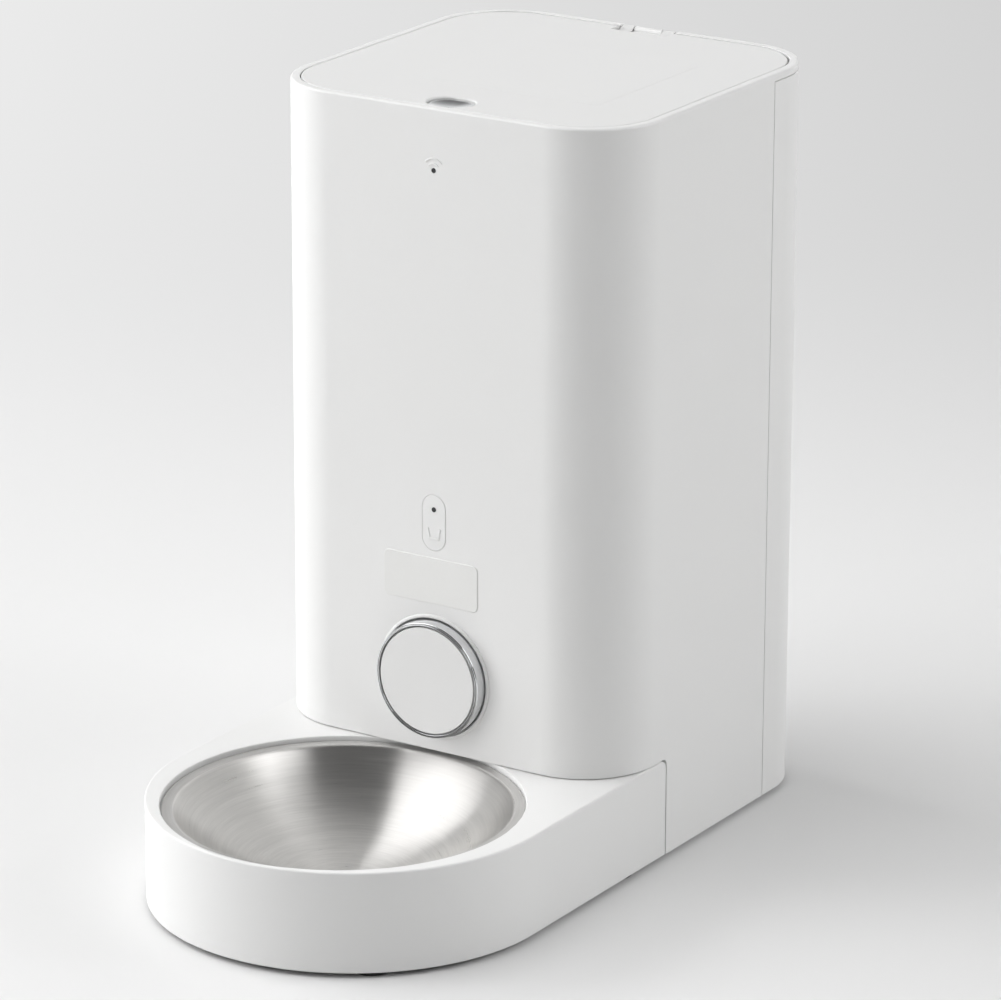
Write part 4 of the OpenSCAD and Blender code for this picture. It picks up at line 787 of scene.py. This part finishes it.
class FEEDER_OT_lid(bpy.types.Operator):
    """Lid plate with its recess, skirt and hinge arms, the blank film on it and the bright button"""

    bl_idname = "feeder.lid"
    bl_label = "Lid"

    def execute(self, context):
        s = sizes("lid")
        self.lid(s, sizes("housing"))
        self.film(s)
        self.button(s)
        return {"FINISHED"}

    def lid(self, s, h):
        """Plate with a rounded edge, plus skirt, pocket and arms, less the recess and the hinge's notch."""
        top = LID_HIGH[2] - s.film
        under = top - s.plate
        bite = 1 * MM
        back = BACK - h.rim_width - s.back_gap
        box = (LID_LOW[0], LID_HIGH[0], LID_LOW[1], back, h.corner - h.rim_width - h.seam)
        section = np.concatenate([[[0, under]], arc(s.edge, top - s.edge, s.edge, 180, 90, 7)])
        lid = lofted("lid_skin", lambda inset: rounded_plan(*box, inset, 40), section)
        notch = box_plan(-h.hinge_half, back - s.hinge_notch, h.hinge_half, back + NEAR)
        joined(lid, [prism("cut_notch", notch, under - NEAR, top + NEAR)], "DIFFERENCE")
        floor_z = BUTTON_LOW[2] - 1.7 * MM
        pocket_wall = 0.5 * MM
        pocket = oval_plan(0, BUTTON_Y, s.recess_w, s.recess_d, -pocket_wall)
        joined(lid, [
            self.skirt(under + bite),
            prism("pocket", pocket, floor_z - bite, under + bite),
            *self.arms(back - s.hinge_notch, top),
        ], "UNION")
        joined(lid, [self.recess(s, top, floor_z)], "DIFFERENCE")
        # The lid gets the housing's white darkened as painted shade
        dressed(lid, "lid_painted_shade_white", "lid", "lid_cover", record_slot="shell_white", soft=s.softness)

    def skirt(self, head):
        """Wall inside the bin's mouth, from the lid's lowest level up to a head inside the plate."""
        low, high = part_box("lid_gasket")
        grow = 0.5 * MM
        gap = 1.8 * MM
        inner = gap + 2 * MM
        mouth = (-high[0] - grow, high[0] + grow, low[1] - grow, high[1] + grow, 22 * MM)
        walls = [(gap, LID_LOW[2]), (gap, head), (inner, head), (inner, LID_LOW[2])]
        return lofted("skirt", lambda inset: rounded_plan(*mouth, inset), walls, loop=True)

    def arms(self, notch_y, top):
        """Two arms beside the hinge's block, each of which ends in a barrel about the pin."""
        pin_y, pin_z = middle("hinge_pin", 1), middle("hinge_pin", 2)
        barrel = 1.8 * MM
        root = notch_y - 2 * MM
        crest = top - 1.4 * MM
        outline = np.concatenate([
            [[root, pin_z - barrel]],
            arc(pin_y, pin_z, barrel, -90, 110, 14),
            [[pin_y - 2 * barrel, crest], [root, crest]],
        ])
        near = BLOCK_HIGH[0] + 0.5 * MM
        reach = near + 5.5 * MM
        return [prism("arm", outline, low, high, "x") for low, high in ((near, reach), (-reach, -near))]

    def recess(self, s, top, floor_z):
        """Cutter for the button's recess: an oval that flares to the lid's top in a quarter round."""
        lean = 0.45
        above = 2 * MM
        section = np.concatenate([
            [[s.lip, top + above]],
            [s.lip, top - s.lip] + arc(0, 0, s.lip, 90, 0, 8) * [-1, 1],
            [[0, floor_z]],
        ])

        def plan(out):
            return oval_plan(0, BUTTON_Y + lean * out, s.recess_w, s.recess_d, -out, 32)
        return lofted("cut_recess", plan, section)

    def film(self, s):
        """Thin blank film, a rounded rectangle with a fine rolled edge."""
        low = LID_HIGH[2] - s.film
        box = (-37 * MM, 51 * MM, FRONT + 39 * MM, FRONT + 118 * MM, 2.2 * MM)
        sunk, roll, short = 0.02 * MM, 0.05 * MM, 0.005 * MM
        edge = [(0, low - sunk), (0, low + 0.6 * s.film), (roll, low + s.film - short)]
        film = lofted("lid_film", lambda inset: rounded_plan(*box, inset, 10), edge)
        # The film gets a darker white, as painted shade like the lid
        dressed(film, "film_painted_shade", "lid", record_slot="shell_white")

    def button(self, s):
        """Oval cap: a rounded edge, a narrow land and a dish that deepens with the square of the way in."""
        w = BUTTON_HIGH[0] - BUTTON_LOW[0]
        d = BUTTON_HIGH[1] - BUTTON_LOW[1]
        top = BUTTON_HIGH[2] + s.button_rise
        low = BUTTON_HIGH[2] - 0.75 * MM
        r = 0.5 * MM
        land = 1.1 * MM
        section = np.concatenate([[[0, low]], arc(r, top - r, r, 180, 90, 6), [[land, top]]])
        rings = np.array([oval_plan(0, BUTTON_Y, w, d, inset, 32) for inset in section[:, 0]])
        share = np.linspace(1, 0, 14)[1:]
        centre = np.array([0, BUTTON_Y])
        dish = centre + share[:, None, None] * (rings[-1] - centre)
        levels = np.concatenate([section[:, 1], top - s.dish * (1 - share ** 2)])
        grid = stacked(np.concatenate([rings, dish]), levels)
        button = piece("lid_button_cap", grid, caps=(True, False))
        dressed(button, "trim_chrome", "lid_button", "lid_button")


class FEEDER_OT_outlet(bpy.types.Operator):
    """White bezel, bright ring and white cap of the round food outlet"""

    bl_idname = "feeder.outlet"
    bl_label = "Food outlet"

    def execute(self, context):
        s = sizes("outlet")
        self.bezel(s)
        self.ring(s)
        self.cap(s)
        return {"FINISHED"}

    def bezel(self, s):
        """A sleeve with a ledge behind the ring, whose lip falls to the face in a quarter of an ellipse."""
        lip = 0.15 * MM
        ledge = -0.7 * MM
        foot = -0.03 * MM
        rear = -sizes("housing").wall
        height = s.bezel_height
        profile = np.concatenate([
            [[s.bezel_in, rear], [s.bezel_in, ledge], [s.bezel_bore, ledge]],
            arc(s.bezel_bore + lip, height - lip, lip, 180, 90, 5),
            [s.bezel_out, 0] + [s.bezel_flare, height] * arc(0, 0, 1, 90, 0, 14),
            [[s.bezel_out + s.bezel_flare, foot], [s.bezel_out, foot], [s.bezel_out, rear]],
        ])
        bezel = piece("outlet_bezel_skin", turned(profile, OUTLET, "y"), loop=True)
        dressed(bezel, "shell_white", "housing", "outlet_bezel")

    def ring(self, s):
        """A band that narrows towards the front, with a rounded edge, a groove and a fine bead inside."""
        proud = FRONT - RING_LOW[1]
        out = (RING_HIGH[0] - RING_LOW[0]) / 2
        inside = out - s.ring_wall
        r = 0.55 * MM
        bead = 0.26 * MM
        step = 0.2 * MM
        chamfer = 0.15 * MM
        groove = proud - 0.95 * MM
        undercut = 0.03 * MM
        edge = out - s.ring_lean - r
        profile = np.concatenate([
            [[out - chamfer, s.ring_foot], [out, s.ring_foot + chamfer]],
            arc(edge, proud - r - step, r, 0, 90, 9),
            [[edge - undercut, groove], [inside + 2 * bead, groove]],
            arc(inside + bead, proud - bead, bead, 0, 180, 9),
            [[inside, s.ring_foot]],
        ])
        ring = piece("outlet_ring_skin", turned(profile, OUTLET, "y", 192), loop=True)
        dressed(ring, "trim_chrome", "outlet", "outlet_ring")

    def cap(self, s):
        """A disc with a rounded edge and a crown that falls with the square of the radius."""
        cap_low, cap_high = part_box("outlet_cap")
        proud = FRONT - cap_low[1]
        back = FRONT - cap_high[1]
        r = 0.4 * MM
        crown = 0.12 * MM
        edge = arc(s.cap - r, proud - crown - r, r, 0, 80, 6)
        radii = np.linspace(s.cap - r, 0, 12)[1:]
        dome = np.stack([radii, proud - crown * (radii / s.cap) ** 2], axis=-1)
        profile = np.concatenate([[[0, back], [s.cap, back]], edge, dome])
        cap = piece("outlet_cap_skin", turned(profile, OUTLET, "y", 192))
        # The cap gets the housing's white darkened as painted shade
        dressed(cap, "cap_painted_shade_white", "outlet", "outlet_cap", record_slot="shell_white")


def raised_line(name, path, half, front, height):
    """Low ridge: a line given a width by offsets along its mitred normals, with sloping sides."""
    step = np.diff(path, axis=0)
    step /= np.linalg.norm(step, axis=1)[:, None]
    after = np.concatenate([step, step[-1:]])
    tangent = np.concatenate([step[:1], step]) + after
    tangent /= np.linalg.norm(tangent, axis=1)[:, None]
    sharpest = 0.4
    mitre = 1 / np.maximum(sharpest, np.sum(tangent * after, axis=1))
    normal = np.stack([-tangent[:, 1], tangent[:, 0]], axis=-1) * mitre[:, None]
    crest = 0.55 * half
    section = [(half, front + SUNK), (half, front), (crest, front - height)]

    def plan(width):
        return np.concatenate([path + width * normal, (path - width * normal)[::-1]])
    return lofted(name, plan, section, "y")


class FEEDER_OT_controls(bpy.types.Operator):
    """Feed button with its raised mark, the raised arcs over the status light and the blank label"""

    bl_idname = "feeder.controls"
    bl_label = "Front controls"

    def execute(self, context):
        self.feed()
        self.arcs()
        self.label()
        return {"FINISHED"}

    def feed(self):
        """Pill with a rounded edge on a low step that closes the gap around it, and a raised dish mark."""
        grow = 0.18 * MM
        proud = 0.1 * MM
        r = 0.3 * MM
        step = 0.36 * MM
        deep = 3 * MM
        section = np.concatenate([
            [[-step, deep], [-step, r - proud], [-grow, r - proud]],
            arc(r - grow, r - proud, r, 180, 270, 6),
        ])
        pill = lofted("feed_button_cap", feed_plan, section + [0, FRONT], "y")
        joined(pill, [drill(round_plan(0, middle("feed_light", 2), LAMP_HOLE, 32), FRONT)], "DIFFERENCE")
        dressed(pill, "shell_white", "feed_button", "feed_button")
        path = np.array([[-2.9, -2.3], [-2.0, -6.7], [2.0, -6.7], [2.9, -2.3]]) * MM + [0, FEED_Z]
        mark = raised_line("feed_mark", path, half=0.48 * MM, front=FRONT - proud, height=0.28 * MM)
        dressed(mark, "shell_white", "feed_button")

    def arcs(self):
        """Two arcs about the status light."""
        for name, radius in (("signal_arc_small", 2.7 * MM), ("signal_arc_large", 4.8 * MM)):
            path = arc(0, STATUS_Z, radius, 140, 40, 25)
            ridge = raised_line(name, path, half=0.42 * MM, front=FRONT, height=0.25 * MM)
            dressed(ridge, "shell_white", "housing")

    def label(self):
        """Blank label: a thin rounded rectangle with a bevelled edge."""
        box = (-24.0 * MM, 20.9 * MM, 106.5 * MM, 126.1 * MM, 2.5 * MM)
        thick = 0.3 * MM
        edge = [(0, FRONT + SUNK), (0, FRONT - 0.1 * thick), (0.9 * thick, FRONT - thick)]
        label = lofted("front_label", lambda inset: rounded_plan(*box, inset, 12), edge, "y")
        dressed(label, "label_paper", "housing", record_slot="shell_white")


class FEEDER_OT_tray(bpy.types.Operator):
    """Bowl tray with its opening, and the rubber feet"""

    bl_idname = "feeder.tray"
    bl_label = "Tray"

    def execute(self, context):
        self.tray(sizes("tray"))
        self.feet("tray_feet", "tray")
        self.feet("housing_feet", "housing")
        return {"FINISHED"}

    def plan(self, inset):
        """Half circle in front, straight sides and a square back, drawn in by a distance."""
        arc_y = TRAY_LOW[1] + TRAY_HIGH[0]
        r = TRAY_HIGH[0] - inset
        nose = arc(0, arc_y, r, 180, 360, 121)
        dense = TRAY_BACK - 6 * MM
        sides = np.concatenate([np.linspace(arc_y, dense, 10)[1:], np.linspace(dense, TRAY_BACK, 25)[1:]])
        sides = np.minimum(sides, TRAY_BACK - inset)
        right = np.stack([np.full(sides.shape, r), sides], axis=-1)
        across = np.linspace(r, -r, 41)[1:-1]
        rear = np.stack([across, np.full(across.shape, TRAY_BACK - inset)], axis=-1)
        return np.concatenate([nose, right, rear, (right * [-1, 1])[::-1]])

    def tray(self, s):
        """Rings from the foot of the wall over the edge to the opening, then back under the deck.

        The upper back edge is rounded by lowering each level to a quarter circle near the back.
        """
        top = TRAY_HIGH[2]
        base = TRAY_LOW[2]
        r = s.edge
        foot = 0.5 * MM
        lip = 0.5 * MM
        flat_rows = [[1.6 * MM, top], [2.3 * MM, top]]
        outer = np.concatenate([
            [[foot, base]],
            arc(foot, base + foot, foot, 250, 180, 5),
            arc(r, top - r, r, 180, 90, 8),
            flat_rows,
        ])
        play, ledge, clear = 0.1 * MM, 2.2 * MM, 0.3 * MM
        seat_z = BOWL_HIGH[2] - s.sheet - play
        ledge_z = seat_z - ledge
        inner = np.concatenate([
            arc(s.hole + lip, top - lip, lip, 90, 180, 7),
            [[s.hole, seat_z], [s.seat, seat_z], [s.seat, ledge_z], [s.hole + clear, ledge_z]],
        ])
        centre = np.array(BOWL_MIDDLE[:2])
        offset = self.plan(0) - centre
        angle = np.arctan2(offset[:, 1], offset[:, 0])
        spoke = np.stack([np.cos(angle), np.sin(angle)], axis=-1)
        mouth = centre + (s.hole + lip) * spoke
        rings = [self.plan(inset) for inset in outer[:, 0]]
        edge = rings[-1]
        shares = (0.35, 0.7)
        rings += [edge * (1 - share) + mouth * share for share in shares]
        rings += [centre + radius * spoke for radius in inner[:, 0]]
        rings += [self.plan(s.wall)] * 2
        levels = [*outer[:, 1], *[top for share in shares], *inner[:, 1], top - s.deck, base]
        grid = stacked(rings, levels)
        depth = np.clip(s.back_round - (TRAY_BACK - grid[..., 1]), 0, s.back_round)
        fall = s.back_round - np.sqrt(np.maximum(0, s.back_round ** 2 - depth ** 2))
        grid[..., 2] = np.minimum(grid[..., 2], top - fall)
        tray = piece("bowl_tray_skin", grid, loop=True)
        dressed(tray, "shell_white", "tray", "bowl_tray", angle=35)

    def feet(self, node, body):
        """Each foot is a low disc with a rounded lower edge and a shallow ring in its sole."""
        mesh = frame["nodes"][node].data
        points = np.empty(3 * len(mesh.vertices))
        mesh.vertices.foreach_get("co", points)
        points = points.reshape(-1, 3)
        low, high = points.min(axis=0), points.max(axis=0)
        radius = 9 * MM
        top = high[2]
        r = 0.6 * MM
        sole = 0.3 * MM
        hollow, land = 5 * MM, 5.4 * MM
        profile = np.concatenate([
            [[0, sole], [hollow, sole], [land, 0]],
            arc(radius - r, r, r, 270, 360, 6),
            [[radius, top], [0, top]],
        ])
        right = points[:, 0] > 0
        rear = points[:, 1] > (low[1] + high[1]) / 2
        corners = (~right & ~rear, ~right & rear, right & ~rear, right & rear)
        for number, corner in enumerate(corners, 1):
            pick = points[corner]
            centre = (pick.min(axis=0) + pick.max(axis=0)) / 2
            foot = piece(node + "_pad_" + str(number), turned(profile, (*centre[:2], 0), "z", 72))
            stands_for = [node] if number == 1 else []
            dressed(foot, "foot_rubber", body, *stands_for)


class FEEDER_OT_bowl(bpy.types.Operator):
    """Pressed and turned steel bowl"""

    bl_idname = "feeder.bowl"
    bl_label = "Bowl"

    def execute(self, context):
        s = sizes("tray")
        out = (BOWL_HIGH[0] - BOWL_LOW[0]) / 2
        mouth = out - s.flange
        bowl = piece("bowl_skin", turned(self.profile(s, out, mouth), BOWL_MIDDLE, "z", 224))
        dressed(bowl, "bowl_steel", "bowl", "bowl")
        self.flange(bowl.data, mouth)
        return {"FINISHED"}

    def profile(self, s, out, mouth):
        """Part of a ball inside, a bend out to the flange, its rolled edge, and the ball's outside."""
        rim = BOWL_HIGH[2]
        depth = rim - BOWL_LOW[2] - s.sheet
        ball = (mouth ** 2 + depth ** 2) / (2 * depth)
        ball_z = rim - depth + ball
        bend = 1.0 * MM
        sweep = math.degrees(math.asin((mouth - bend) / ball))
        inside = arc(0, ball_z, ball, -90, sweep - 90, 56)
        corner = np.array([mouth, rim])
        land = np.array([mouth + bend, rim])
        t = np.linspace(0, 1, 7)[1:, None]
        curve = (1 - t) ** 2 * inside[-1] + 2 * t * (1 - t) * corner + t ** 2 * land
        roll = s.sheet / 2
        return np.concatenate([
            inside,
            curve,
            arc(out - roll, rim - roll, roll, 90, -90, 9),
            [[mouth + bend + s.sheet, rim - s.sheet]],
            arc(0, ball_z, ball + s.sheet, sweep - 90, -90, 56),
        ])

    def flange(self, mesh, mouth):
        """Gives the faces outside the bowl's mouth the plainer finish of the flange."""
        mesh.materials.append(finish_of("flange_steel"))
        middles = np.empty(3 * len(mesh.polygons))
        mesh.polygons.foreach_get("center", middles)
        offset = middles.reshape(-1, 3) - np.asarray(BOWL_MIDDLE)
        outside = np.hypot(offset[:, 0], offset[:, 1]) > mouth
        mesh.polygons.foreach_set("material_index", outside.astype(np.int32))


class FEEDER_OT_inside(bpy.types.Operator):
    """Finishes of the frame, the drive, the boards and the other pieces inside"""

    bl_idname = "feeder.inside"
    bl_label = "Inside finishes"

    def execute(self, context):
        for entry in frame["record"]["subparts"]:
            node = frame["nodes"][entry["node"]]
            material = finish_of(entry["material_slot"])
            if node.material_slots:
                for slot in node.material_slots:
                    slot.material = material
            else:
                node.data.materials.append(material)
        return {"FINISHED"}


class FEEDER_OT_stage(bpy.types.Operator):
    """Pale floor, soft lamps, even room light and the camera"""

    bl_idname = "feeder.stage"
    bl_label = "Studio"

    def execute(self, context):
        self.floor()
        self.lamps()
        self.room(context.scene)
        self.camera(context.scene)
        return {"FINISHED"}

    def floor(self):
        """Large disc just under the feet, as rings about the middle."""
        radii = np.array([0, 0.2, 0.5, 1, 2, 4, 8])
        drop = -0.1 * MM
        profile = np.stack([radii, np.full(radii.shape, drop)], axis=-1)
        floor = piece("studio_floor", turned(profile, (0, 0, 0), "z", 96))
        if floor.data.polygons[0].normal.z < 0:
            floor.data.flip_normals()
        floor.data.materials.append(finish_of("floor_paint"))

    def area(self, name, shape, size, energy, place, turn):
        """Area lamp of a shape, at a place and turned by three angles."""
        light = bpy.data.lights.new(name, "AREA")
        light.shape = shape
        light.size, light.size_y = size
        light.energy = energy
        obj = bpy.data.objects.new(name, light)
        obj.location = place
        obj.rotation_euler = turn
        bpy.context.scene.collection.objects.link(obj)
        return obj

    def lamp(self, name, bearing, rise, distance, size, energy, mirrored=False):
        """Rectangular lamp that faces the feeder, placed by its bearing from the camera, rise and distance.

        It lights the surfaces, or it only shows as a reflection in them.
        """
        aim = Vector((0, 0.03, 0.15))
        turn = math.radians(CAMERA_YAW - 90 + bearing)
        lift = math.radians(rise)
        away = Vector((math.cos(turn) * math.cos(lift), math.sin(turn) * math.cos(lift), math.sin(lift)))
        facing = (-away).to_track_quat("-Z", "Y").to_euler()
        obj = self.area(name, "RECTANGLE", size, energy, aim + distance * away, facing)
        obj.visible_diffuse = not mirrored
        obj.visible_glossy = mirrored

    def lamps(self):
        """Two lamps on the left, a lamp and a card on the right, one lamp overhead and two mirrored panels.

        The bounce is a small disc just over the bowl that faces up, for the light that the steel throws on
        the housing.
        """
        s = sizes("studio")
        # Bearing and rise in degrees, distance, width and height in metres, power
        self.lamp("key_softbox", -110, 25, 2.4, (2.0, 1.5), s.key)
        self.lamp("side_softbox", -72, 15, 2.4, (1.6, 1.4), s.side)
        self.lamp("fill_softbox", 90, 26, 2.6, (1.6, 1.6), s.fill)
        self.lamp("pale_card", 60, 30, 2.4, (1.6, 1.1), s.card)
        self.lamp("top_softbox", -75, 72, 3.4, (3.0, 3.0), s.top)
        self.lamp("left_panel", -104, 45, 3.0, (3.2, 2.4), s.left_panel, mirrored=True)
        self.lamp("right_panel", 64, 36, 2.6, (2.8, 1.6), s.right_panel, mirrored=True)
        width, over, tilt = 110 * MM, 4 * MM, math.radians(165)
        place = (0, BOWL_MIDDLE[1], BOWL_HIGH[2] + over)
        bounce = self.area("bowl_bounce", "DISK", (width, width), s.bounce, place, (tilt, 0, 0))
        bounce.visible_camera = False
        bounce.visible_glossy = False

    def room(self, scene):
        """Room light, strongest at the skyline behind the feeder.

        It falls with the square of the height looked up at, and with the square of the turn to the front.
        """
        s = sizes("studio")
        world = bpy.data.worlds.new("room")
        world.use_nodes = True
        nodes = Nodes(world.node_tree)
        shader = world.node_tree.nodes["Background"]
        direction = nodes.node("ShaderNodeTexCoord", {}, {}, "Generated")
        height = nodes.node("ShaderNodeSeparateXYZ", {}, {0: direction}, 2)
        low = 1 - nodes.node("ShaderNodeClamp", {}, {0: height})
        yaw = math.radians(CAMERA_YAW)
        turn = nodes.vector("DOT_PRODUCT", {0: direction, 1: (-math.sin(yaw), math.cos(yaw), 0)}, 1)
        rear = 0.5 + 0.5 * turn
        gain = 1.5
        share = nodes.node("ShaderNodeClamp", {}, {0: gain * low * low * rear * rear})
        nodes.put(shader.inputs["Color"], (1, 1, 1, 1))
        nodes.put(shader.inputs["Strength"], s.zenith + (s.skyline - s.zenith) * share)
        scene.world = world
        scene.view_settings.view_transform = "Standard"

    def camera(self, scene):
        """Camera on a line of sight given by its yaw, pitch and roll, with a long lens."""
        yaw, pitch, roll = (math.radians(a) for a in (CAMERA_YAW, CAMERA_PITCH, CAMERA_ROLL))
        back = Vector((math.sin(yaw) * math.cos(pitch), -math.cos(yaw) * math.cos(pitch), math.sin(pitch)))
        right = Vector((math.cos(yaw), math.sin(yaw), 0))
        up = back.cross(right)
        turned_right = math.cos(roll) * right + math.sin(roll) * up
        turned_up = math.cos(roll) * up - math.sin(roll) * right
        data = bpy.data.cameras.new("photo_camera")
        data.lens = CAMERA_LENS
        data.sensor_width = SENSOR_WIDTH
        data.sensor_fit = "HORIZONTAL"
        data.clip_end = 50
        obj = bpy.data.objects.new("photo_camera", data)
        turn = Matrix((turned_right, turned_up, back)).transposed()
        obj.matrix_world = Matrix.Translation(CAMERA_PLACE) @ turn.to_4x4()
        scene.collection.objects.link(obj)
        scene.camera = obj


class FEEDER_PT_panel(bpy.types.Panel):
    """Lists the feeder's pieces and its settings"""

    bl_idname = "FEEDER_PT_panel"
    bl_label = "Pet feeder"
    bl_space_type = "VIEW_3D"
    bl_region_type = "UI"
    bl_category = "Feeder"

    def draw(self, context):
        column = self.layout.column()
        for operator in OPERATORS:
            column.operator(operator.bl_idname)
        for name in GROUPS:
            group = sizes(name)
            column.label(text=name.capitalize())
            for key in group.bl_rna.properties.keys():
                if key not in {"rna_type", "name"}:
                    column.prop(group, key)


GROUPS = {
    "housing": HousingSizes,
    "lid": LidSizes,
    "tray": TraySizes,
    "outlet": OutletSizes,
    "colours": FinishColours,
    "studio": StudioLevels,
}
OPERATORS = (
    FEEDER_OT_inside,
    FEEDER_OT_housing,
    FEEDER_OT_lid,
    FEEDER_OT_outlet,
    FEEDER_OT_controls,
    FEEDER_OT_tray,
    FEEDER_OT_bowl,
    FEEDER_OT_stage,
)


def register():
    for name, group in GROUPS.items():
        bpy.utils.register_class(group)
        setattr(bpy.types.Scene, "feeder_" + name, PointerProperty(type=group))
    for operator in OPERATORS:
        bpy.utils.register_class(operator)
    bpy.utils.register_class(FEEDER_PT_panel)


def unregister():
    bpy.utils.unregister_class(FEEDER_PT_panel)
    for operator in reversed(OPERATORS):
        bpy.utils.unregister_class(operator)
    for name, group in reversed(list(GROUPS.items())):
        delattr(bpy.types.Scene, "feeder_" + name)
        bpy.utils.unregister_class(group)


def main():
    """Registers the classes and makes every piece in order."""
    register()
    for operator in OPERATORS:
        group, name = operator.bl_idname.split(".")
        getattr(getattr(bpy.ops, group), name)()
    bpy.context.view_layer.update()


if __name__ == "__main__":
    main()
